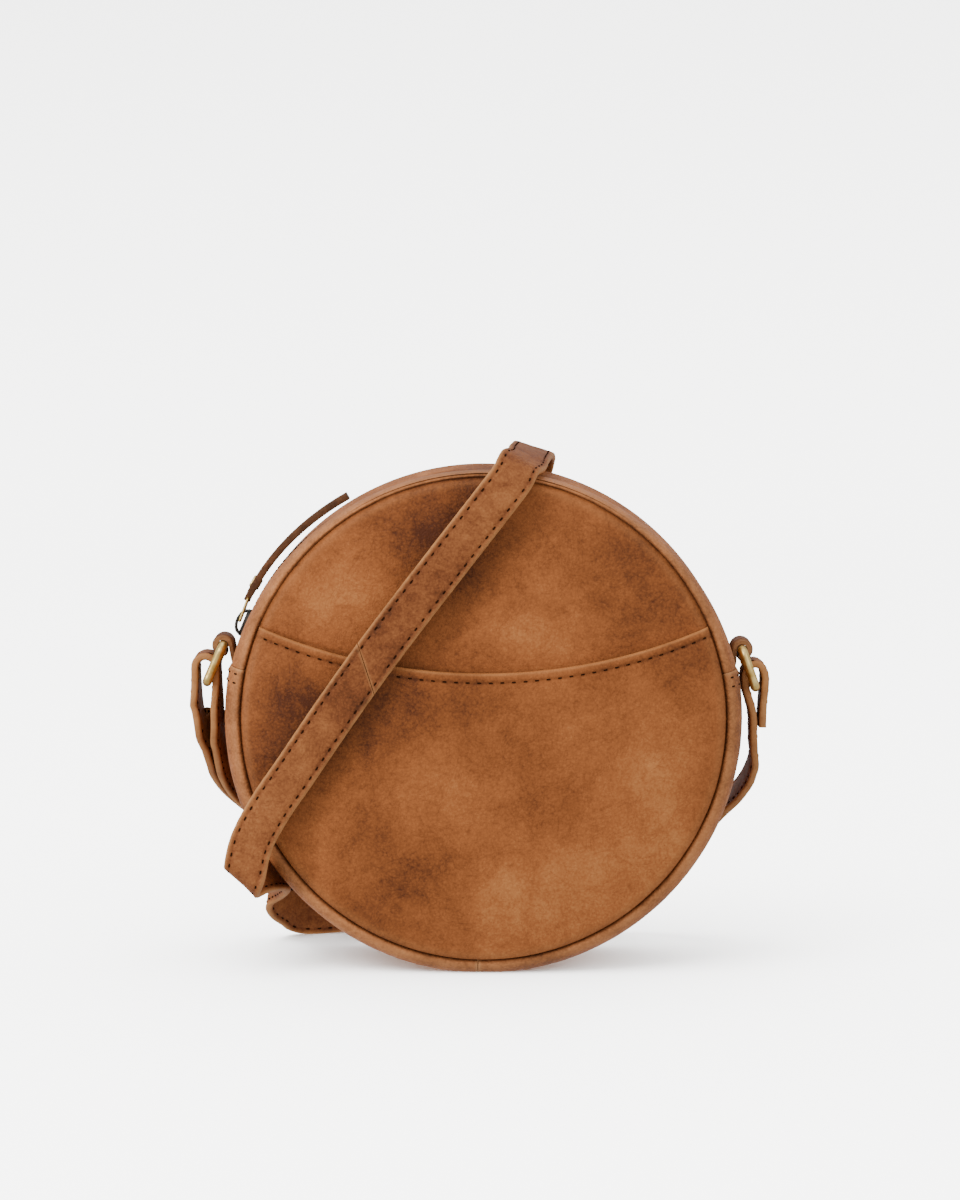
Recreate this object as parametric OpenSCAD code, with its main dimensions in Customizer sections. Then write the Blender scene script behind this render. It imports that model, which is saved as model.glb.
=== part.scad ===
// Round leather shoulder bag that stands on its gusset, with a long strap wrapped round it.
// X runs to the right, Y runs to the back, Z is up, and the floor is at Z = 0.

/* [Body] */
// Radius of the lower gusset, the widest part of the bag
gusset_r = 100; // [95:0.5:106]
// Depth between the two round seams
bag_depth = 65; // [58:1:80]
// Width of the gusset roll that shows outside each seam
roll_w = 6.8; // [6.4:0.1:8]
// Depth over which the roll curves round to the gusset
roll_depth = 12; // [9:0.5:15]
// Depth of the flat that the bag stands on
foot_cut = 1.5; // [1:0.1:2]
// Rise of each panel's dome over its seam
dome_rise = 4; // [3:0.25:5]
// Thickness of the body leather
leather_t = 1.6; // [1.2:0.1:1.7]
// Depth of the seam allowance turned inside
allowance = 7; // [5:0.5:9]
// Angle of the left end of the lower gusset, from +X
left_cap_angle = 168.2; // [166:0.1:170]
// Angle of the right end of the lower gusset, from +X
right_cap_angle = 11; // [9:0.1:13]
// Angle of the butt seam under the bag, from +X
base_seam_angle = 268.7; // [265:0.1:275]

/* [Pockets and lining] */
// Height of the slip pocket's mouth at its lowest point, over the disc's centre
mouth_low = 19; // [10:0.5:26]
// Rise of the mouth from there to its two ends
mouth_sag = 17; // [12:0.5:20]
// Room behind the slip pocket at its slackest
pocket_gap = 5.4; // [5:0.1:6.5]
// Width of the flat rim where a pocket lies on its panel
pocket_rim = 3; // [2:0.5:5]
// Thickness of the foam behind each panel
foam_t = 2; // [1:0.25:3]
// Thickness of the lining cloth
lining_t = 0.8; // [0.5:0.1:1.2]
// Height of the inner pocket's mouth over the disc's centre
inner_mouth_low = 12; // [0:1:25]
// Room behind the inner pocket at its slackest
inner_gap = 5.2; // [5:0.1:7]

/* [Zip] */
// Excess of the radius of the zip gusset's arc over the lower gusset's
zip_excess = 0.5; // [0:0.1:0.8]
// Drop of that arc's centre under the disc's centre
zip_shift = 5; // [4.6:0.1:5.2]
// Width of the opening between the two zip gusset strips
zip_open = 10; // [9.8:0.1:12]
// Overlap of the zip gusset under the end of the lower gusset
zip_lap = 6; // [4:0.5:8]
// Width of one zip tape
tape_w = 12; // [10:0.5:15]
// Thickness of the zip tape
tape_t = 0.6; // [0.4:0.1:0.8]
// Distance from tooth to tooth along one tape
tooth_pitch = 3.2; // [3.2:0.1:5]
// Length of one tooth along the zip
tooth_l = 1.4; // [1:0.1:1.5]
// Reach of one tooth across the zip
tooth_w = 3.1; // [2.6:0.1:3.2]
// Height of one tooth
tooth_h = 3.8; // [3:0.1:3.9]
// Channel between the two rows of teeth
tooth_channel = 1; // [1:0.1:1.4]
// Length of the slider along the zip
slider_l = 11; // [10:0.5:11]
// Width of the slider across the zip
slider_w = 9.2; // [9.2:0.1:9.4]
// Thickness of the slider's two plates
slider_plate_t = 1.2; // [1:0.1:1.4]
// Angle of the slider round the zip's centre when the bag is closed, from +X
slider_angle = 157; // [155:0.1:157.5]
// Height of the slider's bail over its top plate
bail_h = 3.1; // [3:0.1:3.3]
// Width of the bail across the zip
bail_w = 3; // [2:0.5:4]
// Thickness of the wire of the pull link
link_wire = 1.1; // [0.9:0.1:1.1]
// Distance between the two bars of the pull link
link_l = 9.4; // [8.5:0.1:12]
// Width of the pull link, between the centres of its sides
link_w = 6.6; // [6.2:0.2:8]
// Length of the leather pull along its curve
pull_l = 57; // [40:1:57]
// Width of the leather pull
pull_w = 9; // [8:0.5:9.5]
// Thickness of the folded leather pull
pull_t = 2.8; // [2.4:0.1:3]
// Height of the pull's underside over the zip gusset
pull_rise = 2.2; // [2:0.05:2.4]
// Radius of the rivet's head
rivet_r = 2.4; // [1.8:0.1:3]

/* [Rings and tabs] */
// Thickness of the wire of the strap rings
ring_wire = 3.6; // [3:0.1:3.8]
// Height of a ring, between the centres of its two cross bars
ring_h = 15.4; // [15:0.1:17]
// Width of a ring, between the centres of its two sides
ring_w = 22.4; // [22:0.2:26]
// Corner radius of a ring, at the centre of its wire
ring_corner = 3.2; // [2.6:0.1:4]
// Height of the left ring's pivot over the lower gusset
left_rise = 4.7; // [4.4:0.1:5]
// Height of the right ring's pivot over the lower gusset
right_rise = 3.6; // [3.6:0.1:4.4]
// Angle from the end of the lower gusset up to the ring's pivot
pivot_lift_angle = 2.7; // [2.5:0.1:3.2]
// Lean of the left ring from upright
left_lean = 23.5; // [20:0.5:26]
// Lean of the right ring from upright
right_lean = 19.4; // [17:0.5:22]
// Width of the leather tabs that hold the rings
tab_w = 14; // [12:0.5:15]
// Thickness of the tab leather
tab_t = 2.3; // [1.8:0.1:2.4]
// Thickness of the skived foot of a tab under the gusset's end
tab_foot_t = 1; // [0.6:0.1:1.1]
// Length of that foot
tab_foot_l = 6; // [4:0.5:9]

/* [Strap] */
// Width of the strap
strap_w = 16.7; // [15.5:0.1:17.2]
// Thickness of the two-ply strap
strap_t = 3; // [2.6:0.1:3.2]
// Chamfer of the strap's long edges
strap_edge = 0.7; // [0.4:0.1:1]
// Gap between the two legs of the strap where it turns through the left ring
loop_gap = 5.2; // [5:0.1:5.6]
// Height of that turn's centre over the ring's lower bar
loop_rise = 5.8; // [5:0.1:6.2]
// Offset of that turn's centre from the ring's lower bar, outwards
loop_shift = 0.7; // [0.4:0.1:0.9]
// Length of the two legs below the turn
loop_leg = 15.2; // [13:0.1:16]
// Skew of the diagonal splice at the strap's edge
splice_skew = 6.1; // [3:0.1:8]
// Gap between the plies of the doubled strap
double_gap = 0.3; // [0.3:0.05:0.5]
// Thickness of the adjuster's outer bars
adjuster_bar = 2.2; // [1.8:0.1:2.4]
// Length of the adjuster along the strap
adjuster_l = 22; // [18:0.5:25]
// Length of the sewn end that comes back from the adjuster
sewn_end = 15; // [10:0.5:20]
// Gap under the arch of the strap, for the zip pull to pass
arch_clear = 3.2; // [3:0.1:3.6]

/* [Hidden] */
$fn = 64;

// Fits
ply_gap = 0.15;
piece_gap = 0.4;
fit_gap = 0.3;
floor_gap = 0.25;
shank_gap = 0.05;
over = 1;
big = 4 * gusset_r;

// The angle that a length takes up on a circle
function arc_angle(l, r) = l / r * 180 / PI;

// Body values worked out from the sizes above
half_depth = bag_depth / 2;
centre_h = gusset_r - foot_cut;
seam_r = gusset_r - roll_w;
zip_r = gusset_r + zip_excess;
left_span = base_seam_angle - left_cap_angle;
right_span = 360 + right_cap_angle - base_seam_angle;
top_span = left_cap_angle - right_cap_angle;
zip_centre_h = centre_h - zip_shift;
lap_angle = arc_angle(zip_lap, gusset_r);
lap_steps = 4;
step_angle = lap_angle / lap_steps;
foot_in_r = gusset_r - leather_t - tab_foot_t - 2 * ply_gap;
lap_out_r = foot_in_r - ply_gap;
notch_angle = arc_angle(tab_foot_t + 3 * fit_gap, gusset_r);
foot_merge_angle = 0.15;
// Angle round the zip's centre of a place at angle a on the lower gusset
function zip_angle(a) = atan2(gusset_r * sin(a) + zip_shift, gusset_r * cos(a));
zip_from = zip_angle(right_cap_angle);
zip_to = zip_angle(left_cap_angle);
dome_power = 2.6;
slack_power = 4;
roll_steps = 8;
dome_steps = 18;

// Zip values
tape_r = zip_r - leather_t - ply_gap;
tooth_mid_r = tape_r - tape_t / 2;
tooth_top_r = tooth_mid_r + tooth_h / 2;
tooth_in_r = tooth_mid_r - tooth_h / 2;
tooth_near = tooth_channel / 2;
tooth_far = tooth_near + tooth_w;
pitch_angle = arc_angle(tooth_pitch, tooth_mid_r);
stop_l = 2 * tooth_l;
stop_angle = arc_angle(stop_l, tooth_mid_r);
end_stops = 3;
first_tooth_angle = zip_from + end_stops * stop_angle;
last_tooth_angle = zip_to - end_stops * stop_angle;
tape_inset = (lap_steps - 1) * step_angle + stop_angle / 4;
tooth_count = floor((last_tooth_angle - first_tooth_angle) / pitch_angle);
// The slider's post, in shares of the channel's width and the slider's length
post_t_share = 0.6;
post_l_share = 0.2;
post_at_share = 0.25;
plate_in_r = tooth_top_r + piece_gap;
plate_out_r = plate_in_r + slider_plate_t;
bail_top_r = plate_out_r + bail_h;
bail_half = (slider_l - slider_plate_t) / 2;
bail_wire = link_wire;
bail_outer_r = (bail_half * bail_half + bail_h * bail_h) / (2 * bail_h);
pull_pivot_r = bail_top_r - bail_wire - link_wire / 2 - ply_gap;
pull_in_r = zip_r + pull_rise;
pull_mid_r = pull_in_r + pull_t / 2;
link_angle = arc_angle(link_l, pull_mid_r);
pull_bar_angle = slider_angle - link_angle;
pull_span = arc_angle(pull_l, pull_mid_r);
// The rivet, in shares of its head's radius
shank_share = 0.5;
rivet_at_share = 3;
shank_r = shank_share * rivet_r;
rivet_head_t = 0.35;
rivet_sink = 0.4;
rivet_angle = pull_bar_angle - arc_angle(rivet_at_share * rivet_r, pull_mid_r);

// Ring and loop values, as [x, z] places
tab_in_r = ring_wire / 2 + fit_gap;
tab_out_r = tab_in_r + tab_t;
left_pivot_r = gusset_r + left_rise;
right_pivot_r = gusset_r + right_rise;
left_pivot_angle = left_cap_angle - pivot_lift_angle;
right_pivot_angle = right_cap_angle + pivot_lift_angle;
left_pivot = [left_pivot_r * cos(left_pivot_angle), centre_h + left_pivot_r * sin(left_pivot_angle)];
right_pivot = [right_pivot_r * cos(right_pivot_angle), centre_h + right_pivot_r * sin(right_pivot_angle)];
left_bar = left_pivot + ring_h * [-sin(left_lean), -cos(left_lean)];
right_bar = right_pivot + ring_h * [sin(right_lean), -cos(right_lean)];
leg_reach = (loop_gap + strap_t) / 2;
left_turn = left_bar + [-loop_shift, loop_rise];
left_cut_z = left_turn[1] - loop_leg;
bar_reach = ring_wire / 2 + piece_gap + strap_t / 2;

// Centre line of the right loop, in shares of the reach from the ring's bar to a leg, from the cut
// up the inner leg, over the bar, and down the sewn tail
right_loop_shares = [[-0.12, -4.62], [-0.13, -3.9], [-0.17, -3.1], [-0.3, -2.3], [-0.62, -1.3],
    [-1.0, 0], [-1.08, 0.9], [-1.02, 1.6], [-0.72, 2.2], [-0.2, 2.52], [0.35, 2.45], [0.86, 2.0],
    [1.08, 1.3], [1.1, 0.4], [1.02, -0.7], [0.9, -1.8], [0.82, -2.9], [0.8, -4.3]];
right_cut = right_bar + bar_reach * right_loop_shares[0];

// Strap values
half_w = strap_w / 2;
floor_lie = half_w + floor_gap;
front_stack = dome_rise + pocket_gap + leather_t + strap_t;
double_step = strap_t + double_gap;
arch_r = pull_in_r + pull_t + arch_clear + strap_t / 2;
arch_angle = 79.6;
curve_steps = 6;

// The strap's route in shares: x of gusset_r, y of half_depth, y of front_stack, z of gusset_r from the
// disc's centre, and the direction across the strap
behind_shares = [
    [-1.04, 0, 0, -0.045, 0, 1, 0],
    [-1.042, 0.19, 0, -0.105, 0.03, 0.93, 0.3],
    [-1.035, 0.43, 0, -0.175, 0.15, 0.8, 0.56],
    [-1.012, 0.72, 0, -0.245, 0.35, 0.62, 0.7],
    [-0.965, 1, 0, -0.322, 0.55, 0.42, 0.7],
    [-0.878, 1, 0.38, -0.415, 0.7, 0.15, 0.68],
    [-0.76, 1, 0.42, -0.52, 0.79, 0, 0.62],
    [-0.683, 1, 0.42, -0.617, 0.79, 0, 0.62],
    [-0.61, 1, 0.49, -0.705, 0.8, -0.05, 0.6],
    [-0.545, 1, 0.82, -0.768, 0.88, -0.1, 0.45],
    [-0.49, 1, 1.4, -0.788, 0.95, -0.1, 0.25],
    [-0.445, 1, 1.93, -0.735, 0.98, 0, 0],
    [-0.4, 1, 2.03, -0.605, 0.95, 0, -0.25],
    [-0.31, 1, 1.68, -0.365, 0.93, 0, -0.36],
    [-0.17, 1, 1.1, 0.015, 0.93, 0, -0.36],
    [-0.02, 1, 0.79, 0.395, 0.93, 0, -0.36],
    [0.085, 1, 0.65, 0.625, 0.93, 0, -0.36],
    [0.14, 1, 0.61, 0.755, 0.93, 0, -0.36],
    [0.185, 1, 0.57, 0.895, 0.93, 0, -0.36],
    [0.206, 1, 0.22, 0.985, 0.94, 0, -0.34]];
arch_shares = [
    [0.012, 0.74, 0.001, 0.965, 0, -0.26],
    [0.006, 0.31, 0.001, 0.972, 0, -0.235],
    [0, 0, 0, 0.974, 0, -0.225],
    [-0.008, -0.31, 0.001, 0.972, 0, -0.235],
    [-0.022, -0.68, 0.001, 0.96, 0, -0.28]];
front_shares = [
    [0.152, -1, -0.1, 1.008, 0.9, 0, -0.43],
    [0.115, -1, -0.52, 0.95, 0.84, 0, -0.54],
    [0.06, -1, -0.68, 0.872, 0.81, 0, -0.586],
    [-0.12, -1, -0.78, 0.641, 0.8, 0, -0.6],
    [-0.3, -1, -0.87, 0.408, 0.81, 0, -0.586]];
splice_shares = [-0.445, -1, -0.92, 0.214, 0.82, 0, -0.57];
turn_shares = [
    [-0.58, -1, -0.91, 0.022, 0.825, 0, -0.565],
    [-0.72, -1, -0.8, -0.186, 0.828, 0, -0.56],
    [-0.815, -1, -0.78, -0.325, 0.83, 0, -0.556],
    [-0.885, -1, -0.75, -0.457, 0.81, 0, -0.586],
    [-0.914, -1, -0.62, -0.58, 0.76, 0, -0.65],
    [-0.92, -1, -0.2, -0.616, 0.73, 0, -0.68],
    [-0.883, -0.87, 0, -0.61, 0.72, 0, -0.69],
    [-0.842, -0.55, 0, -0.617, 0.68, 0, -0.73],
    [-0.815, -0.15, 0, -0.64, 0.6, 0, -0.8],
    [-0.812, 0.28, 0, -0.668, 0.45, 0.04, -0.89],
    [-0.826, 0.68, 0, -0.703, 0.25, 0.08, -0.96],
    [-0.852, 1, 0.12, -0.745, 0.05, 0.1, -0.99],
    [-0.838, 1, 0.68, -0.81, 0, 0.1, -0.99],
    [-0.79, 1, 1.22, -0.86, 0, 0.05, -1]];
floor_shares = [[-0.73, 1, 1.55], [-0.56, 1, 1.82], [-0.3, 1, 1.89], [0, 1, 1.96], [0.28, 1, 1.96]];
rise_shares = [
    [0.45, 1, 1.86, -0.865, 0, 0, -1],
    [0.595, 1, 1.6, -0.79, 0.05, -0.12, -0.99],
    [0.72, 1, 1.18, -0.67, 0.12, -0.3, -0.95],
    [0.84, 1, 0.66, -0.55, 0.16, -0.58, -0.8],
    [0.93, 1, 0.12, -0.455, 0.12, -0.84, -0.5],
    [1, 0.75, 0, -0.365, 0.06, -0.96, -0.26],
    [1.045, 0.4, 0, -0.275, 0.03, -0.99, -0.12],
    [1.06, 0.15, 0, -0.2, 0.01, -1, -0.03],
    [1.056, 0, 0, -0.135, 0, -1, 0]];

// Directions across the strap at its two ends
ring_across = [0, 1, 0];
end_across = [0, -1, 0];

// Catmull-Rom curve and its direction
function curve(a, b, c, d, t) =
    ((2 * b) + (c - a) * t + (2 * a - 5 * b + 4 * c - d) * t * t + (3 * b - a - 3 * c + d) * t * t * t) / 2;
function curve_dir(a, b, c, d, t) =
    ((c - a) + 2 * (2 * a - 5 * b + 4 * c - d) * t + 3 * (3 * b - a - 3 * c + d) * t * t) / 2;
function unit(v) = v / norm(v);
function placed(s) = [
    [s[0] * gusset_r, s[1] * half_depth + s[2] * front_stack, centre_h + s[3] * gusset_r],
    [s[4], s[5], s[6]]];
function arched(s) = [
    [arch_r * cos(arch_angle) + s[0] * gusset_r, s[1] * half_depth,
        zip_centre_h + arch_r * sin(arch_angle) + s[2] * gusset_r],
    [s[3], s[4], s[5]]];
function on_floor(s) = [[s[0] * gusset_r, s[1] * half_depth + s[2] * front_stack, floor_lie], [0, 0, -1]];

// A station is [centre, direction, across, facing]
function station(p, dir, across) =
    let (t = unit(dir), w = unit(across - t * (across * t)))
    [p, t, w, cross(t, w)];
function stations(k) = [
    for (i = [1:len(k) - 3], j = [0:(i == len(k) - 3 ? curve_steps : curve_steps - 1)])
        let (u = j / curve_steps)
        station(curve(k[i - 1][0], k[i][0], k[i + 1][0], k[i + 2][0], u),
            curve_dir(k[i - 1][0], k[i][0], k[i + 1][0], k[i + 2][0], u),
            curve(k[i - 1][1], k[i][1], k[i + 1][1], k[i + 2][1], u))];

// Keys of the two long pieces: one before the start, the route, one after the end
left_start = [left_turn[0] + leg_reach, 0, left_cut_z - piece_gap];
step_z = [0, 0, loop_leg / 2];
right_end = [right_cut[0], 0, right_cut[1] - piece_gap];
splice_key = placed(splice_shares);
behind_keys = [for (s = behind_shares) placed(s)];
long_keys = concat([[left_start + step_z, ring_across], [left_start, ring_across]], behind_keys,
    [for (s = arch_shares) arched(s)], [for (s = front_shares) placed(s)],
    [splice_key, placed(turn_shares[0])]);
short_keys = concat([placed(front_shares[len(front_shares) - 1]), splice_key],
    [for (s = turn_shares) placed(s)], [for (s = floor_shares) on_floor(s)],
    [for (s = rise_shares) placed(s)], [[right_end, end_across], [right_end + step_z, end_across]]);

// The adjuster sits at this key of the run behind the bag
adjuster_key = 7;
doubled = stations([for (i = [0:adjuster_key + 3]) long_keys[i]]);
adjuster_at = doubled[len(doubled) - 1];
// Spread of the two plies at each key from the ring to the adjuster, over their closest step
spread_shares = [1, 0.5, 0.08, 0, 0, 0, 0, 0];
function spread(i) =
    let (u = i / curve_steps, k = min(floor(u), len(spread_shares) - 2), f = u - k)
    double_step + (2 * leg_reach - double_step)
        * (spread_shares[k] * (1 - f) + spread_shares[k + 1] * f);
outer_ply = [for (i = [0:len(doubled) - 1])
    let (s = doubled[i]) [s[0] - s[3] * spread(i), s[1], s[2], s[3]]];
centre_bar_r = adjuster_bar / 2;
wrap_r = centre_bar_r + ply_gap + strap_t / 2;
centre_bar_at = adjuster_at[0] - adjuster_at[3] * (double_step + wrap_r);
wrap_step = 30;
wrap = [for (a = [wrap_step:wrap_step:180])
    let (t = adjuster_at[1], n = adjuster_at[3], w = adjuster_at[2])
    [centre_bar_at + wrap_r * (n * cos(a) + t * sin(a)), t * cos(a) - n * sin(a), w,
        n * cos(a) + t * sin(a)]];
last_wrap = wrap[len(wrap) - 1];
sewn = [[last_wrap[0] - adjuster_at[1] * sewn_end, last_wrap[1], last_wrap[2], last_wrap[3]]];

// Section of the strap, as [across, facing]
section = let (a = half_w, b = strap_t / 2, e = strap_edge)
    [[a, b - e], [a - e, b], [e - a, b], [-a, b - e], [-a, e - b], [e - a, -b], [a - e, -b], [a, e - b]];

// Sweeps the strap's section along stations; the ends can be cut on a skew
module strap_sweep(st, skew_start = 0, skew_end = 0) {
    m = len(section);
    last = len(st) - 1;
    points = [for (i = [0:last]) let (s = st[i], k = (i == 0 ? skew_start : i == last ? skew_end : 0))
        for (q = section) s[0] + s[2] * q[0] + s[3] * q[1] + s[1] * (k * q[0] / half_w)];
    sides = [for (i = [0:last - 1], j = [0:m - 1]) let (a = i * m + j, b = i * m + (j + 1) % m)
        each [[a, b + m, b], [a, a + m, b + m]]];
    start_cap = [for (j = [1:m - 2]) [0, j, j + 1]];
    end_cap = [for (j = [1:m - 2]) [last * m, last * m + j + 1, last * m + j]];
    polyhedron(points = points, faces = concat(sides, start_cap, end_cap));
}

// Puts a profile of [radius, height towards the front] round the disc's axis, from angle a over a span
module turned(a = 0, span = 360) {
    translate([0, 0, centre_h]) rotate([90, 0, 0]) rotate([0, 0, a]) rotate_extrude(angle = span, $fn = 180)
        children();
}

// Puts things at angle a on the disc: X is outwards, Z is along the rim, against the clock
module on_rim(a) {
    translate([0, 0, centre_h]) rotate([0, -a, 0]) children();
}

// The same two for what follows the zip's own arc
module zip_turned(a, span) {
    translate([0, 0, -zip_shift]) turned(a, span) children();
}

module on_zip(a) {
    translate([0, 0, -zip_shift]) on_rim(a) children();
}

function roll(r1, h0, depth, a0 = 0) = [for (i = [0:roll_steps]) let (a = a0 + (90 - a0) * i / roll_steps)
    [seam_r + (r1 - seam_r) * sin(a), h0 - depth * (1 - cos(a))]];
function backwards(v) = [for (i = [len(v) - 1:-1:0]) v[i]];
function flipped(v) = [for (p = v) [p[0], -p[1]]];
function roll_out(r1) = roll(r1, half_depth, roll_depth);
function roll_in(r1) = roll(r1 - leather_t, half_depth - leather_t, roll_depth - leather_t,
    asin(min(1, leather_t / (r1 - leather_t - seam_r))));
flange = [[seam_r + leather_t, half_depth - allowance], [seam_r, half_depth - allowance]];
gusset_profile = concat(roll_out(gusset_r), backwards(flipped(roll_out(gusset_r))),
    backwards(flipped(flange)), flipped(roll_in(gusset_r)), backwards(roll_in(gusset_r)), flange);
zip_outside = concat(roll_out(gusset_r), [[gusset_r, zip_open / 2], [seam_r, zip_open / 2]]);
zip_inside = concat(roll_in(gusset_r), [[gusset_r - leather_t, 0], [seam_r - over, 0]],
    [[seam_r - over, half_depth - allowance], [seam_r + leather_t, half_depth - allowance]]);

// Height of a panel's outer face over the seam plane
function dome(r) = dome_rise * (1 - pow(r / seam_r, dome_power));
function radii(r1) = [for (i = [0:dome_steps]) r1 * sin(90 * i / dome_steps)];
// A dome-shaped sheet whose two faces lie h_out and h_in under the panel's outer face
function sheet_profile(r1, h_out, h_in) = concat([for (r = radii(r1)) [r, half_depth + dome(r) - h_out]],
    backwards([for (r = radii(r1)) [r, half_depth + dome(r) - h_in]]));
panel_edge = seam_r - leather_t;
panel_profile = concat([for (r = radii(seam_r)) [r, half_depth + dome(r)]],
    [[seam_r, half_depth - allowance], [panel_edge, half_depth - allowance]],
    backwards([for (r = radii(panel_edge)) [r, half_depth + dome(r) - leather_t]]));

module panel() {
    turned() polygon(panel_profile);
}

module back_side() {
    mirror([0, 1, 0]) children();
}

// Keeps what lies below a mouth that sags by the given amount at its middle
module below_mouth(low, sag, edge_r) {
    reach = sqrt(edge_r * edge_r - (low + sag) * (low + sag));
    mouth_r = (reach * reach + sag * sag) / (2 * sag);
    difference() {
        children();
        translate([0, 0, centre_h + low + mouth_r]) rotate([90, 0, 0])
            cylinder(r = mouth_r, h = big, center = true, $fn = 180);
    }
}

// A slack pocket sheet: it lies at h_base on its rim and stands off by gap at its middle
module pocket_sheet(r1, h_base, gap, thick) {
    rim_r = r1 - pocket_rim;
    inner = [for (r = concat(radii(rim_r), [r1]))
        [r, half_depth + dome(r) + h_base + gap * (1 - pow(min(1, r / rim_r), slack_power))]];
    outer = [for (r = concat(radii(rim_r), [r1]))
        [r, half_depth + dome(r) + h_base + gap * (1 - pow(min(1, r / rim_r), slack_power))
            + (r == r1 ? thick / 2 : thick)]];
    turned() polygon(concat(outer, backwards(inner)));
}

module front_panel() {
    color("#9c5f38") panel();
}

module back_panel() {
    color("#9c5f38") back_side() panel();
}

module slip_pocket() {
    color("#a56639") below_mouth(mouth_low, mouth_sag, seam_r)
        pocket_sheet(seam_r - ply_gap, ply_gap, pocket_gap, leather_t);
}

// The lower gusset is flat under the bag, where the leather gives on the floor
module gusset_part(a, span) {
    difference() {
        union() {
            turned(a, span) polygon(gusset_profile);
            intersection() {
                turned(a, span) polygon(concat([[0, half_depth - roll_depth]],
                    [[gusset_r, half_depth - roll_depth], [gusset_r, roll_depth - half_depth]],
                    [[0, roll_depth - half_depth]]));
                translate([-big / 2, -big / 2, 0]) cube([big, big, leather_t]);
            }
        }
        translate([-big / 2, -big / 2, -big]) cube([big, big, big]);
    }
}

module gusset_left() {
    color("#b0713f") gusset_part(left_cap_angle, left_span);
}

module gusset_right() {
    color("#b0713f") gusset_part(base_seam_angle, right_span);
}

// A disc as deep as the bag, cut to the zip's arc
module zip_disc(r) {
    translate([0, 0, zip_centre_h]) rotate([90, 0, 0])
        cylinder(r = r, h = bag_depth + over, center = true, $fn = 180);
}

// Half of the zip gusset: a curved strip whose two ends step down under the lower gusset
module zip_strip() {
    color("#b0713f") {
        difference() {
            intersection() {
                turned(right_cap_angle, top_span) polygon(zip_outside);
                zip_disc(zip_r);
            }
            intersection() {
                turned(right_cap_angle - lap_angle, top_span + 2 * lap_angle) polygon(zip_inside);
                zip_disc(zip_r - leather_t);
            }
        }
        for (a = [right_cap_angle - lap_angle, left_cap_angle - 3 * step_angle])
            turned(a, lap_angle + 3 * step_angle) lap_section(lap_out_r);
        for (a = [right_cap_angle + step_angle, left_cap_angle - 2 * step_angle])
            turned(a, step_angle) lap_section(gusset_r - leather_t);
    }
}

// Room for a tab where it comes out between the gusset's end and the zip gusset
module tab_notches() {
    notch_h = tab_w / 2 + ply_gap;
    notch_r = lap_out_r - ply_gap / 2;
    for (a = [right_cap_angle - lap_angle, left_cap_angle - notch_angle])
        turned(a, lap_angle + notch_angle) polygon([[notch_r, -notch_h], [notch_r, notch_h],
            [gusset_r + over, notch_h], [gusset_r + over, -notch_h]]);
}

module lap_section(top_r) {
    near = zip_open / 2 + ply_gap;
    far = half_depth - roll_depth - ply_gap;
    polygon([[lap_out_r - leather_t, near], [top_r, near], [top_r, far], [lap_out_r - leather_t, far]]);
}

module zip_gusset_front() {
    difference() {
        zip_strip();
        tab_notches();
    }
}

module zip_gusset_back() {
    difference() {
        back_side() zip_strip();
        tab_notches();
    }
}

module zip_tape() {
    color("#4a3a2c") zip_turned(zip_from + tape_inset, zip_to - zip_from - 2 * tape_inset)
        polygon([[tape_r - tape_t, tooth_far], [tape_r, tooth_far],
            [tape_r, tooth_far + tape_w], [tape_r - tape_t, tooth_far + tape_w]]);
}

module zip_tape_front() {
    zip_tape();
}

module zip_tape_back() {
    back_side() zip_tape();
}

// One row of teeth on the front side, shifted along the zip by a share of the pitch
module teeth(shift_share) {
    color("#55504a") for (i = [0:tooth_count - 1])
        on_zip(first_tooth_angle + (i + shift_share) * pitch_angle)
            translate([tooth_in_r, -tooth_far, -tooth_l / 2]) cube([tooth_h, tooth_w, tooth_l]);
}

module zip_teeth_front() {
    teeth(0);
}

module zip_teeth_back() {
    back_side() teeth(0.5);
}

module zip_top_stops() {
    color("#55504a") for (side = [-1, 1])
        on_zip(last_tooth_angle + stop_angle / 2)
            translate([tooth_in_r, side * (tooth_near + tooth_w / 2) - tooth_w / 2, -stop_l / 2])
                cube([tooth_h, tooth_w, stop_l]);
}

module zip_bottom_stop() {
    color("#55504a") on_zip(first_tooth_angle - stop_angle)
        translate([tooth_in_r, -tooth_far, -stop_l / 2]) cube([tooth_h, 2 * tooth_far, stop_l]);
}

// The slider: two plates joined by a thin post between the teeth, side lips, and a bail on top
module zip_slider() {
    lip_t = slider_w / 2 - tooth_far - fit_gap;
    low_out_r = tooth_in_r - piece_gap;
    post_t = post_t_share * tooth_channel;
    bail_in_r = bail_outer_r - bail_wire;
    color("#4b4a47") on_zip(slider_angle) {
        translate([plate_in_r, -slider_w / 2, -slider_l / 2]) cube([slider_plate_t, slider_w, slider_l]);
        translate([low_out_r - slider_plate_t, -slider_w / 2, -slider_l / 2])
            cube([slider_plate_t, slider_w, slider_l]);
        translate([low_out_r - slider_plate_t / 2, -post_t / 2, post_at_share * slider_l])
            cube([plate_in_r - low_out_r + slider_plate_t, post_t, post_l_share * slider_l]);
        for (side = [-1, 1])
            translate([tape_r + fit_gap, side * (slider_w - lip_t) / 2 - lip_t / 2, -slider_l / 2])
                cube([plate_in_r - tape_r - fit_gap + slider_plate_t / 2, lip_t, slider_l]);
        intersection() {
            translate([bail_top_r - bail_outer_r, 0, 0]) rotate([90, 0, 0]) difference() {
                cylinder(r = bail_outer_r, h = bail_w, center = true);
                cylinder(r = bail_in_r, h = bail_w + over, center = true);
            }
            translate([plate_out_r - slider_plate_t / 2, -slider_w / 2, -slider_l / 2])
                cube([bail_h + slider_plate_t, slider_w, slider_l]);
        }
    }
}

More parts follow.
